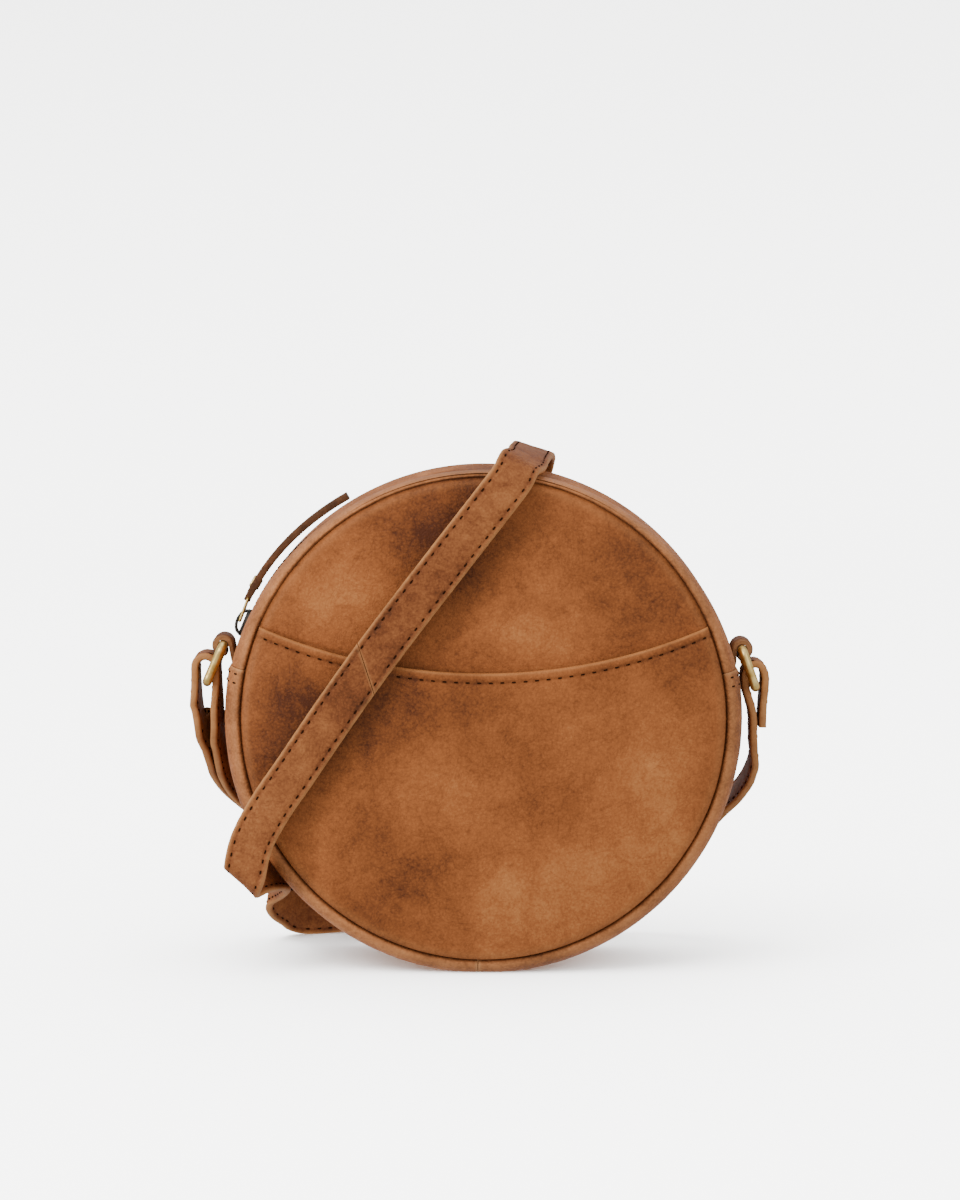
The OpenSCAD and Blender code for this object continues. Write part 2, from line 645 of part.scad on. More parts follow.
// The wire link that joins the bail to the leather pull
module pull_link() {
    near = [pull_pivot_r * cos(slider_angle), pull_pivot_r * sin(slider_angle)];
    far = [pull_mid_r * cos(pull_bar_angle), pull_mid_r * sin(pull_bar_angle)];
    reach = norm(far - near);
    turn = atan2(far[1] - near[1], far[0] - near[0]);
    color("#c9b27a") translate([near[0], 0, zip_centre_h + near[1]]) rotate([0, -turn, 0]) {
        for (x = [0, reach]) translate([x, 0, 0]) rotate([90, 0, 0])
            cylinder(d = link_wire, h = link_w, center = true);
        for (side = [-1, 1]) translate([0, side * link_w / 2, 0]) {
            rotate([0, 90, 0]) cylinder(d = link_wire, h = reach);
            sphere(d = link_wire);
            translate([reach, 0, 0]) sphere(d = link_wire);
        }
    }
}

// The leather pull: a folded strip round the zip, and a narrow fold round the link's far bar
module zip_pull() {
    fold_w = link_w - link_wire - 2 * fit_gap;
    neck_angle = arc_angle(pull_t + fit_gap, pull_mid_r);
    color("#8a5333") difference() {
        union() {
            on_zip(pull_bar_angle) translate([pull_mid_r, 0, 0]) rotate([90, 0, 0])
                cylinder(d = pull_t, h = fold_w, center = true);
            zip_turned(pull_bar_angle - 2 * neck_angle, 2 * neck_angle)
                translate([pull_in_r + ply_gap, ply_gap - fold_w / 2])
                    square([pull_t - 2 * ply_gap, fold_w - 2 * ply_gap]);
            zip_turned(pull_bar_angle - pull_span, pull_span - neck_angle)
                translate([pull_in_r, -pull_w / 2]) square([pull_t, pull_w]);
        }
        on_zip(pull_bar_angle) translate([pull_mid_r, 0, 0]) rotate([90, 0, 0])
            cylinder(d = link_wire + ply_gap, h = pull_w, center = true);
        on_zip(rivet_angle) translate([pull_in_r - over, 0, 0]) rotate([0, 90, 0])
            cylinder(r = shank_r, h = pull_t + 2 * over);
    }
}

module pull_rivet() {
    color("#c9b27a") on_zip(rivet_angle) {
        translate([pull_in_r - rivet_sink, 0, 0]) rotate([0, 90, 0])
            cylinder(r = shank_r - shank_gap, h = pull_t + rivet_head_t + rivet_sink);
        for (r = [pull_in_r - rivet_sink, pull_in_r + pull_t]) translate([r, 0, 0]) rotate([0, 90, 0])
            cylinder(r = rivet_r, h = rivet_head_t);
    }
}

// A tab at the right side: a closed leather loop round the pivot, a neck, and a skived foot under
// the end of the lower gusset
module tab(pivot_r, pivot_angle, cap_angle) {
    foot_angle = arc_angle(tab_foot_l, gusset_r);
    pivot_step = pivot_r * sin(pivot_lift_angle);
    neck_in_r = gusset_r + ply_gap;
    color("#7c4a2e") difference() {
        union() {
            on_rim(pivot_angle) translate([pivot_r, 0, 0]) rotate([90, 0, 0])
                cylinder(r = tab_out_r, h = tab_w, center = true);
            on_rim(cap_angle) translate([0, tab_w / 2, 0]) rotate([90, 0, 0]) linear_extrude(tab_w)
                polygon([[foot_in_r, -ply_gap], [foot_in_r + tab_foot_t, -ply_gap],
                    [foot_in_r + tab_foot_t, ply_gap], [neck_in_r, ply_gap],
                    [pivot_r, pivot_step - tab_out_r + fit_gap], [pivot_r, pivot_step],
                    [pivot_r - tab_out_r + fit_gap, pivot_step], [neck_in_r, 2 * fit_gap + tab_foot_t]]);
            turned(cap_angle - foot_angle, foot_angle + foot_merge_angle)
                translate([foot_in_r, -tab_w / 2]) square([tab_foot_t, tab_w]);
        }
        on_rim(pivot_angle) translate([pivot_r, 0, 0]) rotate([90, 0, 0])
            cylinder(r = tab_in_r, h = tab_w + over, center = true);
    }
}

module tab_right() {
    tab(right_pivot_r, right_pivot_angle, right_cap_angle);
}

module tab_left() {
    mirror([1, 0, 0]) tab(left_pivot_r, 180 - left_pivot_angle, 180 - left_cap_angle);
}

// A rounded rectangle of wire in the YZ plane, hanging from the middle of its upper bar
module ring() {
    straight_w = ring_w - 2 * ring_corner;
    straight_h = ring_h - 2 * ring_corner;
    color("#b9a36a") {
        for (z = [0, -ring_h]) translate([0, 0, z]) rotate([90, 0, 0])
            cylinder(d = ring_wire, h = straight_w, center = true);
        for (side = [-1, 1]) translate([0, side * ring_w / 2, -ring_corner - straight_h])
            cylinder(d = ring_wire, h = straight_h);
        for (corner = [[1, 0, 90], [-1, 0, 180], [1, 1, 0], [-1, 1, -90]])
            translate([0, corner[0] * straight_w / 2, -ring_corner - corner[1] * straight_h])
                rotate([0, 90, 0]) rotate([0, 0, corner[2]])
                    rotate_extrude(angle = 90) translate([ring_corner, 0]) circle(d = ring_wire);
    }
}

module ring_right() {
    translate([right_pivot[0], 0, right_pivot[1]]) rotate([0, -right_lean, 0]) ring();
}

module ring_left() {
    translate([left_pivot[0], 0, left_pivot[1]]) rotate([0, left_lean, 0]) ring();
}

// The strap's left end turns through the ring and both legs run on
module strap_end_left() {
    r_out = leg_reach + strap_t / 2;
    r_in = leg_reach - strap_t / 2;
    color("#96603c") translate([left_turn[0], half_w, left_turn[1]]) rotate([90, 0, 0])
        linear_extrude(strap_w) difference() {
            union() {
                circle(r = r_out);
                translate([-r_out, -loop_leg]) square([2 * r_out, loop_leg]);
            }
            circle(r = r_in);
            translate([-r_in, -loop_leg - over]) square([2 * r_in, loop_leg + over]);
        }
}

// Outline of a band of even thickness along a line of points
function side_of(p, i) =
    let (a = p[max(0, i - 1)], b = p[min(len(p) - 1, i + 1)], d = unit(b - a)) [d[1], -d[0]];
function band(p, thick) = concat([for (i = [0:len(p) - 1]) p[i] + side_of(p, i) * thick / 2],
    [for (i = [len(p) - 1:-1:0]) p[i] - side_of(p, i) * thick / 2]);

// The strap's right end turns through the ring and is sewn back on itself
module strap_end_right() {
    color("#96603c") translate([right_bar[0], half_w, right_bar[1]]) rotate([90, 0, 0])
        linear_extrude(strap_w) polygon(band(bar_reach * right_loop_shares, strap_t));
}

module strap_long() {
    color("#96603c") strap_sweep(stations(long_keys), skew_end = splice_skew);
}

module strap_short() {
    all = stations(short_keys);
    first = all[0];
    moved = [first[0] + first[1] * fit_gap, first[1], first[2], first[3]];
    color("#96603c")
        strap_sweep(concat([moved], [for (i = [1:len(all) - 1]) all[i]]), skew_start = splice_skew);
}

module strap_adjuster_end() {
    color("#96603c") strap_sweep(concat(outer_ply, wrap, sewn));
}

// The adjuster: two outer bars under the inner ply, a centre bar in the sewn fold, and side rails
module strap_adjuster() {
    t = adjuster_at[1];
    w = adjuster_at[2];
    n = adjuster_at[3];
    rail_y = half_w + fit_gap + adjuster_bar / 2;
    low = adjuster_at[0] + n * (strap_t / 2 + fit_gap + adjuster_bar / 2);
    drop = norm(centre_bar_at - low);
    half_l = (adjuster_l - adjuster_bar) / 2;
    rail = norm([half_l, drop]);
    color("#b9a36a") translate(low)
        multmatrix([[t[0], w[0], -n[0], 0], [t[1], w[1], -n[1], 0], [t[2], w[2], -n[2], 0], [0, 0, 0, 1]]) {
            for (x = [-half_l, half_l]) translate([x, 0, 0]) rotate([90, 0, 0])
                cylinder(d = adjuster_bar, h = 2 * rail_y, center = true);
            translate([0, 0, drop]) rotate([90, 0, 0])
                cylinder(r = centre_bar_r, h = 2 * rail_y, center = true);
            for (side = [-1, 1]) {
                translate([0, side * rail_y, drop]) sphere(d = adjuster_bar);
                for (x = [-1, 1]) {
                    translate([x * half_l, side * rail_y, 0]) sphere(d = adjuster_bar);
                    translate([x * half_l, side * rail_y, 0])
                        rotate([0, -x * atan2(half_l, drop), 0]) cylinder(d = adjuster_bar, h = rail);
                }
            }
        }
}

foam_edge = panel_edge - ply_gap;
foam_top = leather_t + ply_gap;
lining_top = foam_top + foam_t + ply_gap;

module foam() {
    color("#d9d2c0") turned() polygon(sheet_profile(foam_edge, foam_top, foam_top + foam_t));
}

module front_foam() {
    foam();
}

module back_foam() {
    back_side() foam();
}

module lining() {
    color("#7d6a4f") turned() polygon(sheet_profile(foam_edge, lining_top, lining_top + lining_t));
}

module front_lining() {
    lining();
}

module back_lining() {
    back_side() lining();
}

// The lining band lies inside the seam allowance; along the zip it rises to the tapes
module gusset_lining() {
    band_r = foam_edge;
    seam_angle = arc_angle(ply_gap, band_r);
    band_h = half_depth + dome(foam_edge) - lining_top - lining_t - ply_gap;
    slot = zip_open / 2 + pocket_rim;
    lip_r = tape_r - tape_t - zip_shift - ply_gap;
    color("#7d6a4f") {
        turned(left_cap_angle + seam_angle, 360 - top_span - 2 * seam_angle)
            polygon([[band_r - lining_t, -band_h], [band_r, -band_h], [band_r, band_h],
                [band_r - lining_t, band_h]]);
        for (flip = [0, 1]) mirror([0, flip, 0])
            turned(right_cap_angle, top_span)
                polygon([[band_r - lining_t, slot], [band_r - lining_t, band_h], [band_r, band_h],
                    [band_r, slot + lining_t], [lip_r, slot + lining_t], [lip_r, slot]]);
    }
}

module inner_pocket() {
    edge_r = foam_edge - lining_t - ply_gap;
    color("#8d7857") back_side() below_mouth(inner_mouth_low, pocket_rim, edge_r)
        pocket_sheet(edge_r, -(lining_top + 2 * lining_t + ply_gap), -inner_gap, lining_t);
}

front_panel();
slip_pocket();
back_panel();
gusset_left();
gusset_right();
zip_gusset_front();
zip_gusset_back();
zip_tape_front();
zip_tape_back();
zip_teeth_front();
zip_teeth_back();
zip_top_stops();
zip_bottom_stop();
zip_slider();
pull_link();
zip_pull();
pull_rivet();
tab_left();
tab_right();
ring_left();
ring_right();
strap_end_left();
strap_end_right();
strap_long();
strap_short();
strap_adjuster_end();
strap_adjuster();
front_foam();
back_foam();
front_lining();
back_lining();
gusset_lining();
inner_pocket();
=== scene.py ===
"""A round leather shoulder bag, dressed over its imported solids."""

import bmesh
import bpy
import math
import random
import numpy as np
from mathutils import Matrix, Vector


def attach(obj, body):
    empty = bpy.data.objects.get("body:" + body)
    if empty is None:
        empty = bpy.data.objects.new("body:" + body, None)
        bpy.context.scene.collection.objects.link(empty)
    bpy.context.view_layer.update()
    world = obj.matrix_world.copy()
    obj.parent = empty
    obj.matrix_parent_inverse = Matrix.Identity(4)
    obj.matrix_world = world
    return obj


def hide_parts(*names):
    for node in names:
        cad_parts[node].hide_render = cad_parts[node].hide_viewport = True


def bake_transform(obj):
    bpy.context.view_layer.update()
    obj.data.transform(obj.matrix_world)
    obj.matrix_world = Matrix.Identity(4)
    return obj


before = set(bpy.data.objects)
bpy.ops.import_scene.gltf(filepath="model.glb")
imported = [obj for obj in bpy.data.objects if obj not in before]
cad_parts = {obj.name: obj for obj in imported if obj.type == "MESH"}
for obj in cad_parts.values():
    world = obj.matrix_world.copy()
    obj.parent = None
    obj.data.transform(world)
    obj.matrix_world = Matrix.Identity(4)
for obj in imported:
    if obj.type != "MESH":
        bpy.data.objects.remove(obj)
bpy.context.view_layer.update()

# Sizes in millimetres, in the same frame as the solids: X right, Y back, Z up, floor at Z = 0. Angles are in
# degrees from the right over the top, about the disc's centre or about the centre of the zip's arc.
MM = 0.001
ACROSS = np.array([0.0, 1.0, 0.0])

# The round body: the gusset, how much of its foot is flat, and the seam at which it rolls over to each disc
GUSSET_R = 100.0
HALF_DEPTH = 32.5
FOOT_CUT = 1.5
CENTRE_H = GUSSET_R - FOOT_CUT
SEAM_R = 93.2
ROLL_DEPTH = 12.0
LEATHER_T = 1.6
# Leather turned in at the seam
ALLOWANCE = 4.0
# Depth and width of the groove at the seam, on the gusset's side and on the disc's side
GROOVE, GROOVE_W = 1.5, 0.8
DISC_GROOVE, DISC_GROOVE_W = 1.7, 1.35
# How far the middle of each disc stands out
FRONT_CROWN, BACK_CROWN = 5.6, 4.4
# Ends of the lower gusset, and the seam at its foot with its gap, all in degrees
LEFT_CAP = 168.2
RIGHT_CAP = 11.0
BASE_SEAM = 268.7
BUTT_GAP = 0.12

# Foam and cloth behind the discs
LINING_R = 91.2
FOAM_T = 2.0
CLOTH_T = 0.8
# Cloth inside the gusset: its radius, half its depth, and where it turns up beside the zip's teeth
BAND_R = 91.45
BAND_EDGE = 27.4
LIP_Y = 8.8
# The inner pocket: its sewn edge, its mouth over the disc's centre, its depth in the bag and its slack
INNER_R = 90.5
INNER_LOW, INNER_SAG = 12.0, 3.0
INNER_Y = 25.45
INNER_BULGE = 2.0

# The slip pocket: its mouth's lowest point over the disc's centre, the rise to its ends, the ends' gap to
# the seam, its sewn edge, and the hem's row of stitches
MOUTH_LOW = 19.0
MOUTH_SAG = 17.0
MOUTH_GAP = 0.3
POCKET_EDGE = SEAM_R - 0.5
HEM_ROW = 3.6

# Stitches: their spacing and size, the distance of each row from its edge, and the first one on a strap
STITCH = 4.4
STITCH_L, STITCH_R = 1.45, 0.34
CAP_ROWS = (2.2, 5.8)
ZIP_ROW = 2.4
STRAP_ROW = 2.2
PULL_ROW = 1.5
FIRST_STITCH = 2.4

# The zip: its arc is centred below the disc, and the leather leaves it open on both sides; it has sunk by
# up to ZIP_SINK, and the lining meets the tape's underside
ZIP_R = 100.5
ZIP_SHIFT = 5.0
ZIP_OPEN = 5.0
ZIP_CENTRE_H = CENTRE_H - ZIP_SHIFT
ZIP_SINK = 2.0
TAPE_R, TAPE_T = 98.75, 0.6
TAPE_IN, TAPE_OUT = 0.9, 15.0
TAPE_UNDER = TAPE_R - 0.7
TOOTH_PITCH = 3.2
TOOTH_MID_R = 98.45
# Sizes along the radius, across the zip and along it
TOOTH_SIZE, KNOB_SIZE = (4.3, 3.8, 1.5), (2.6, 1.6, 1.1)
TOP_STOP_SIZE, BOTTOM_STOP_SIZE = (4.2, 3.0, 2.6), (4.2, 7.0, 2.8)
# Degrees from the zip's ends to its tapes, teeth and stops
TAPE_END, TEETH_END, TOP_STOP_END, BOTTOM_STOP_END = 3, 5, 4.2, 3.3

# The slider: inner radius and thickness of its two plates, their length, their widths at mouth and tail,
# and the height and inset of their bevel; then the post between them, the two side rails and the bail
SLIDER_ANGLE = 157.0
UPPER_PLATE, LOWER_PLATE = (100.75, 1.25), (94.95, 1.2)
PLATE_L, PLATE_MOUTH, PLATE_TAIL = 11.0, 9.2, 7.6
PLATE_EDGE, PLATE_INSET = 0.3, 0.35
POST_R, POST_AHEAD, POST_SIZE = 98.4, 3.4, (6.4, 0.6, 2.2)
RAIL_R, RAIL_Y, RAIL_SIZE = 100.1, 4.35, (1.9, 0.5, 10.4)
BAIL_R, BAIL_RISE, BAIL_REACH, BAIL_WIRE, BAIL_STEP = 101.6, 2.75, 4.6, 0.62, 0.75

# Link and pull; the pull's angles run along the zip from the link's far bar
PULL_PIVOT_R = 103.25
LINK_WIRE = 1.1
LINK_BEND = 1.1
LINK_W = 6.6
PULL_BAR_ANGLE = 151.826
PULL_SPAN = 31.37
PULL_L = 57.0
PULL_IN_R = 102.7
PULL_W = 9.0
PULL_T = 2.8
PULL_TONE = -0.3
PULL_MID_R = PULL_IN_R + PULL_T / 2
RIVET_R, RIVET_BACK_R, RIVET_T = 2.6, 2.4, 0.62
# Places along the pull, in shares of its length: its rivet, and where its stitches start and end
RIVET_AT, SEWN_FROM, SEWN_TO = 0.155, 0.14, 0.97

# Rings, as x and z of their upper bars and their lean in degrees, and the tabs round those bars
RING_WIRE = 3.6
RING_H = 15.4
RING_W = 22.4
RING_CORNER = 3.2
LEFT_PIVOT = (-101.365, 124.715)
RIGHT_PIVOT = (100.652, 123.036)
LEFT_LEAN = 23.5
RIGHT_LEAN = 19.4
TAB_T = 2.2
TAB_HALF_W = 7.0
TAB_SLACK = 0.35
TAB_WRAP = 1.62 * math.pi

# The strap's turns round the rings' lower bars, as x and z
RIGHT_BAR = (105.768, 108.511)
LEFT_TURN = (-108.206, 116.392)
LOOP_LEG = 15.2
LEG_REACH = 4.1
LEG_TWIST = 0.11
BAR_REACH = 3.7
# The strap, the step between its two plies where it is doubled, and its adjuster
STRAP_W = 16.7
HALF_W = STRAP_W / 2
STRAP_T = 3.0
DOUBLE_STEP = 3.3
ADJUSTER_BAR = 2.2
ADJUSTER_L = 22.0
ADJUSTER_GAP = 0.3
SEWN_END = 15.0
# Its route: the step outwards in which it is laid, its centre's height on the floor, and the arch's middle
FRONT_STACK = 14.0
FLOOR_LIE = HALF_W + 0.25
ARCH_R = 107.4
ARCH_ANGLE = 79.6
# The skew seam of its two parts, the cut to the turns at the rings, and the length that bends with a turn
SPLICE_SKEW = 6.1
PIECE_GAP = 0.4
BLEND = 14.0
STATION_STEP = 1.1

# Spacing of the leather's pebbles, drawn somewhat coarse so that they show
PEBBLE = 1.2

# Lamps, in watts, and in watts a square metre for the two that light the paper alone
KEY, FILL, TOP, LOW = 21.0, 7.6, 7.5, 8.0
PAPER_SKY, PAPER_SUN, AMBIENT = 13.8, 4.5, 0.78


# Meshes


made = []


def new_object(title, verts, faces, mats, face_mats=None, sharp=40.0, attrs=None):
    """A smooth mesh object from points in millimetres, creased where faces meet at more than sharp degrees;
    attrs are named lists of one number a point."""
    name = title.replace(" ", "_")
    mesh = bpy.data.meshes.new(name)
    mesh.from_pydata([tuple(float(c) * MM for c in v) for v in verts], [], faces)
    for key, values in (attrs or {}).items():
        numbers = mesh.attributes.new(key, "FLOAT", "POINT")
        numbers.data.foreach_set("value", np.asarray(values, dtype=np.float32))
    for m in mats:
        mesh.materials.append(m)
    if face_mats is not None:
        mesh.polygons.foreach_set("material_index", face_mats)
    bm = bmesh.new()
    bm.from_mesh(mesh)
    bmesh.ops.recalc_face_normals(bm, faces=bm.faces)
    for f in bm.faces:
        f.smooth = True
    for e in bm.edges:
        if len(e.link_faces) == 2 and e.calc_face_angle(0.0) > math.radians(sharp):
            e.smooth = False
    bm.to_mesh(mesh)
    bm.free()
    obj = bpy.data.objects.new(name, mesh)
    bpy.context.scene.collection.objects.link(obj)
    made.append(obj)
    return obj


def unit(w):
    """w at length 1."""
    return w / np.linalg.norm(w)


def run_lengths(points):
    """Distance of each point of a line from its start."""
    steps = np.linalg.norm(np.diff(np.asarray(points, float), axis=0), axis=1)
    return np.concatenate([[0], np.cumsum(steps)])


def smoothed(points, count, rounds):
    """A line redrawn with count even points and rounded off."""
    points = np.asarray(points, float)
    d = run_lengths(points)
    at = np.linspace(0, d[-1], count)
    line = np.stack([np.interp(at, d, column) for column in points.T], axis=1)
    for _ in range(rounds):
        line[1:-1] = (line[:-2] + 2 * line[1:-1] + line[2:]) / 4
    return line


def directions(line):
    """Unit direction at each point of a line."""
    t = np.gradient(line, axis=0)
    return t / np.linalg.norm(t, axis=1, keepdims=True)


def grid_normals(p, closed=False):
    """Unit normals of a grid of points, rows by columns."""
    du = np.roll(p, -1, 1) - np.roll(p, 1, 1) if closed else np.gradient(p, axis=1)
    dv = np.gradient(p, axis=0)
    n = np.cross(du, dv)
    return n / np.maximum(np.linalg.norm(n, axis=2, keepdims=True), 1e-9)


def side_towards(p, at, away, closed=False):
    """+1 or -1: what turns the grid's normals towards away, as judged at one row and column of the grid."""
    return 1 if grid_normals(p, closed)[at] @ np.asarray(away, float) > 0 else -1


def shell(p, thick, side=1, closed=False, attrs=None, edge_round=0.35, facing=None):
    """Closed sheet: the grid p is its outer face, and the inner one lies thick behind it. The grid's normals
    times side point outwards, unless facing gives one direction for all of it."""
    rows, cols = p.shape[:2]
    if facing is None:
        n = grid_normals(p, closed) * side
    else:
        n = np.broadcast_to(np.array(facing, float), p.shape)
    outer = p.copy()
    drop = edge_round * thick
    outer[0] -= n[0] * drop
    outer[-1] -= n[-1] * drop
    inner = p - n * thick
    if not closed:
        outer[:, 0] -= n[:, 0] * drop
        outer[:, -1] -= n[:, -1] * drop
    verts = np.concatenate([outer.reshape(-1, 3), inner.reshape(-1, 3)])
    m = rows * cols
    faces = []
    span = cols if closed else cols - 1
    for i in range(rows - 1):
        for j in range(span):
            a, b = i * cols + j, i * cols + (j + 1) % cols
            faces.append((a, b, b + cols, a + cols))
            faces.append((m + a, m + a + cols, m + b + cols, m + b))
    for j in range(span):
        k = (j + 1) % cols
        faces.append((j, m + j, m + k, k))
        last = (rows - 1) * cols
        faces.append((last + j, last + k, m + last + k, m + last + j))
    if not closed:
        for i in range(rows - 1):
            a = i * cols
            faces.append((a, a + cols, m + a + cols, m + a))
            b = a + cols - 1
            faces.append((b, m + b, m + b + cols, b + cols))
    out = {k: np.concatenate([np.ravel(v), np.ravel(v)]) for k, v in (attrs or {}).items()}
    return verts, faces, out


def loft(rings, closed=False, turn=0):
    """Skin through rings of as many points each. It is capped, or else closed by joining the last ring to the
    first, which starts turn points further on."""
    n, k = len(rings), len(rings[0])
    verts = [p for ring in rings for p in ring]
    faces = []
    for i in range(n if closed else n - 1):
        after, step = ((i + 1) * k, 0) if i < n - 1 else (0, turn)
        for j in range(k):
            j2 = (j + 1) % k
            faces.append((i * k + j, i * k + j2, after + (j2 + step) % k, after + (j + step) % k))
    if not closed:
        faces.append(tuple(range(k))[::-1])
        faces.append(tuple((n - 1) * k + j for j in range(k)))
    return verts, faces


class Parts:
    """Collects several closed pieces, each with its material, into one object."""

    def __init__(self):
        self.verts, self.faces, self.mats = [], [], []
        self.count = 0

    def add(self, verts, faces, mat=0):
        """Takes in one closed piece; mat is its place in the list of materials."""
        self.verts.extend([tuple(map(float, v)) for v in verts])
        self.faces.extend([tuple(i + self.count for i in f) for f in faces])
        self.mats.extend([mat] * len(faces))
        self.count += len(verts)

    def build(self, name, mats, sharp=40.0, attrs=None):
        """The object of all the pieces so far."""
        return new_object(name, self.verts, self.faces, mats, self.mats, sharp, attrs)


def tube(path, radius, sides=12, closed=False, taper=None):
    """Round wire along a path of points; taper scales its radius at each."""
    path = np.asarray(path, float)
    t = np.roll(path, -1, 0) - np.roll(path, 1, 0) if closed else np.gradient(path, axis=0)
    t /= np.linalg.norm(t, axis=1, keepdims=True)
    u = ACROSS if abs(t[0][1]) < 0.9 else np.array([1.0, 0.0, 0.0])
    rings = []
    for i, centre in enumerate(path):
        u = unit(u - t[i] * (u @ t[i]))
        v = np.cross(t[i], u)
        r = radius * (taper[i] if taper is not None else 1.0)
        angles = [2 * math.pi * k / sides for k in range(sides)]
        rings.append([centre + u * (r * math.cos(w)) + v * (r * math.sin(w)) for w in angles])
    turn = 0
    if closed:
        turn = int(np.argmin([np.linalg.norm(rings[-1][0] - q) for q in rings[0]]))
    return loft(rings, closed, turn)


def wire_loop(near, far, width, corner, steps):
    """Path of a rounded rectangle of wire whose two crossbars run through near and far."""
    down = unit(far - near)
    path = []
    for centre, sign, start in ((near + down * corner, -1, 270), (near + down * corner, 1, 180),
                                (far - down * corner, 1, 90), (far - down * corner, -1, 0)):
        centre = centre + ACROSS * (sign * (width / 2 - corner))
        for k in range(steps + 1):
            w = math.radians(start - 90 * k / steps)
            path.append(centre + down * (corner * math.cos(w)) + ACROSS * (corner * math.sin(w)))
    return path


def lists(bm):
    """The points and faces of a bmesh, which is freed."""
    bm.verts.index_update()
    verts, faces = [tuple(v.co) for v in bm.verts], [tuple(v.index for v in f.verts) for f in bm.faces]
    bm.free()
    return verts, faces


def placed_by(centre, ax, ay, az, size=(1.0, 1.0, 1.0)):
    """Matrix that puts a shape at centre with its axes along ax, ay and az."""
    cols = [np.asarray(a, float) * k for a, k in zip((ax, ay, az), size)] + [np.asarray(centre, float)]
    return Matrix([[c[i] for c in cols] for i in range(3)] + [[0.0, 0.0, 0.0, 1.0]])


def block(centre, ax, ay, az, size, bevel):
    """A box with its edges cut by bevel; ax, ay and az are its unit axes and size its full sizes."""
    bm = bmesh.new()
    bmesh.ops.create_cube(bm, size=1.0, matrix=placed_by(centre, ax, ay, az, size))
    bmesh.ops.bevel(bm, geom=bm.edges[:], offset=bevel, affect="EDGES", segments=1, profile=0.5, material=-1)
    return lists(bm)


def rivet_head(centre, ax, ay, az, radius, thick):
    """A low round head that stands along az from centre."""
    bm = bmesh.new()
    bmesh.ops.create_cone(bm, cap_ends=True, segments=24, radius1=radius, radius2=radius * 0.9, depth=thick,
                          matrix=placed_by(np.asarray(centre) + np.asarray(az) * (thick / 2), ax, ay, az))
    top = [e for e in bm.edges if all((np.array(v.co) - centre) @ az > 0.9 * thick for v in e.verts)]
    bmesh.ops.bevel(bm, geom=top, offset=thick * 0.6, affect="EDGES", segments=3, profile=0.5, material=-1)
    return lists(bm)


def stitch(parts, at, along, up, mat=0):
    """One sunk thread stitch on a surface."""
    at, along, up = (np.asarray(v, float) for v in (at, along, up))
    shares = (-0.5, -0.38, 0.0, 0.38, 0.5)
    lift = (-0.6, -0.1, 0.12, -0.1, -0.6)
    path = [at + along * (STITCH_L * s) + up * (STITCH_R * k) for s, k in zip(shares, lift)]
    parts.add(*tube(path, STITCH_R, 6, taper=(0.6, 0.95, 1.0, 0.95, 0.6)), mat)


# Materials


def srgb(code):
    """Linear colour from a hex code."""
    rgb = [int(code[i:i + 2], 16) / 255 for i in (1, 3, 5)]
    return tuple(c / 12.92 if c <= 0.04045 else ((c + 0.055) / 1.055) ** 2.4 for c in rgb) + (1.0,)


def add_node(tree, kind, inputs=None, out=0, stops=(), **settings):
    """A node with its settings, inputs and colour stops. An input is a value or another node's output, and
    the function gives the node's own output out."""
    node = tree.nodes.new(kind)
    for key, value in settings.items():
        setattr(node, key, value)
    for key, value in (inputs or {}).items():
        if isinstance(value, bpy.types.NodeSocket):
            tree.links.new(value, node.inputs[key])
        else:
            node.inputs[key].default_value = value
    for i, (place, colour) in enumerate(stops):
        spots = node.color_ramp.elements
        spot = spots[i] if i < 2 else spots.new(place)
        spot.position, spot.color = place, colour
    return node.outputs[out]


def blank(name, **values):
    """A material with a Principled surface: its tree and that node."""
    mat = bpy.data.materials.new(name)
    mat.use_nodes = True
    tree = mat.node_tree
    shader = tree.nodes["Principled BSDF"]
    for key, value in values.items():
        shader.inputs[key].default_value = value
    return mat, tree, shader


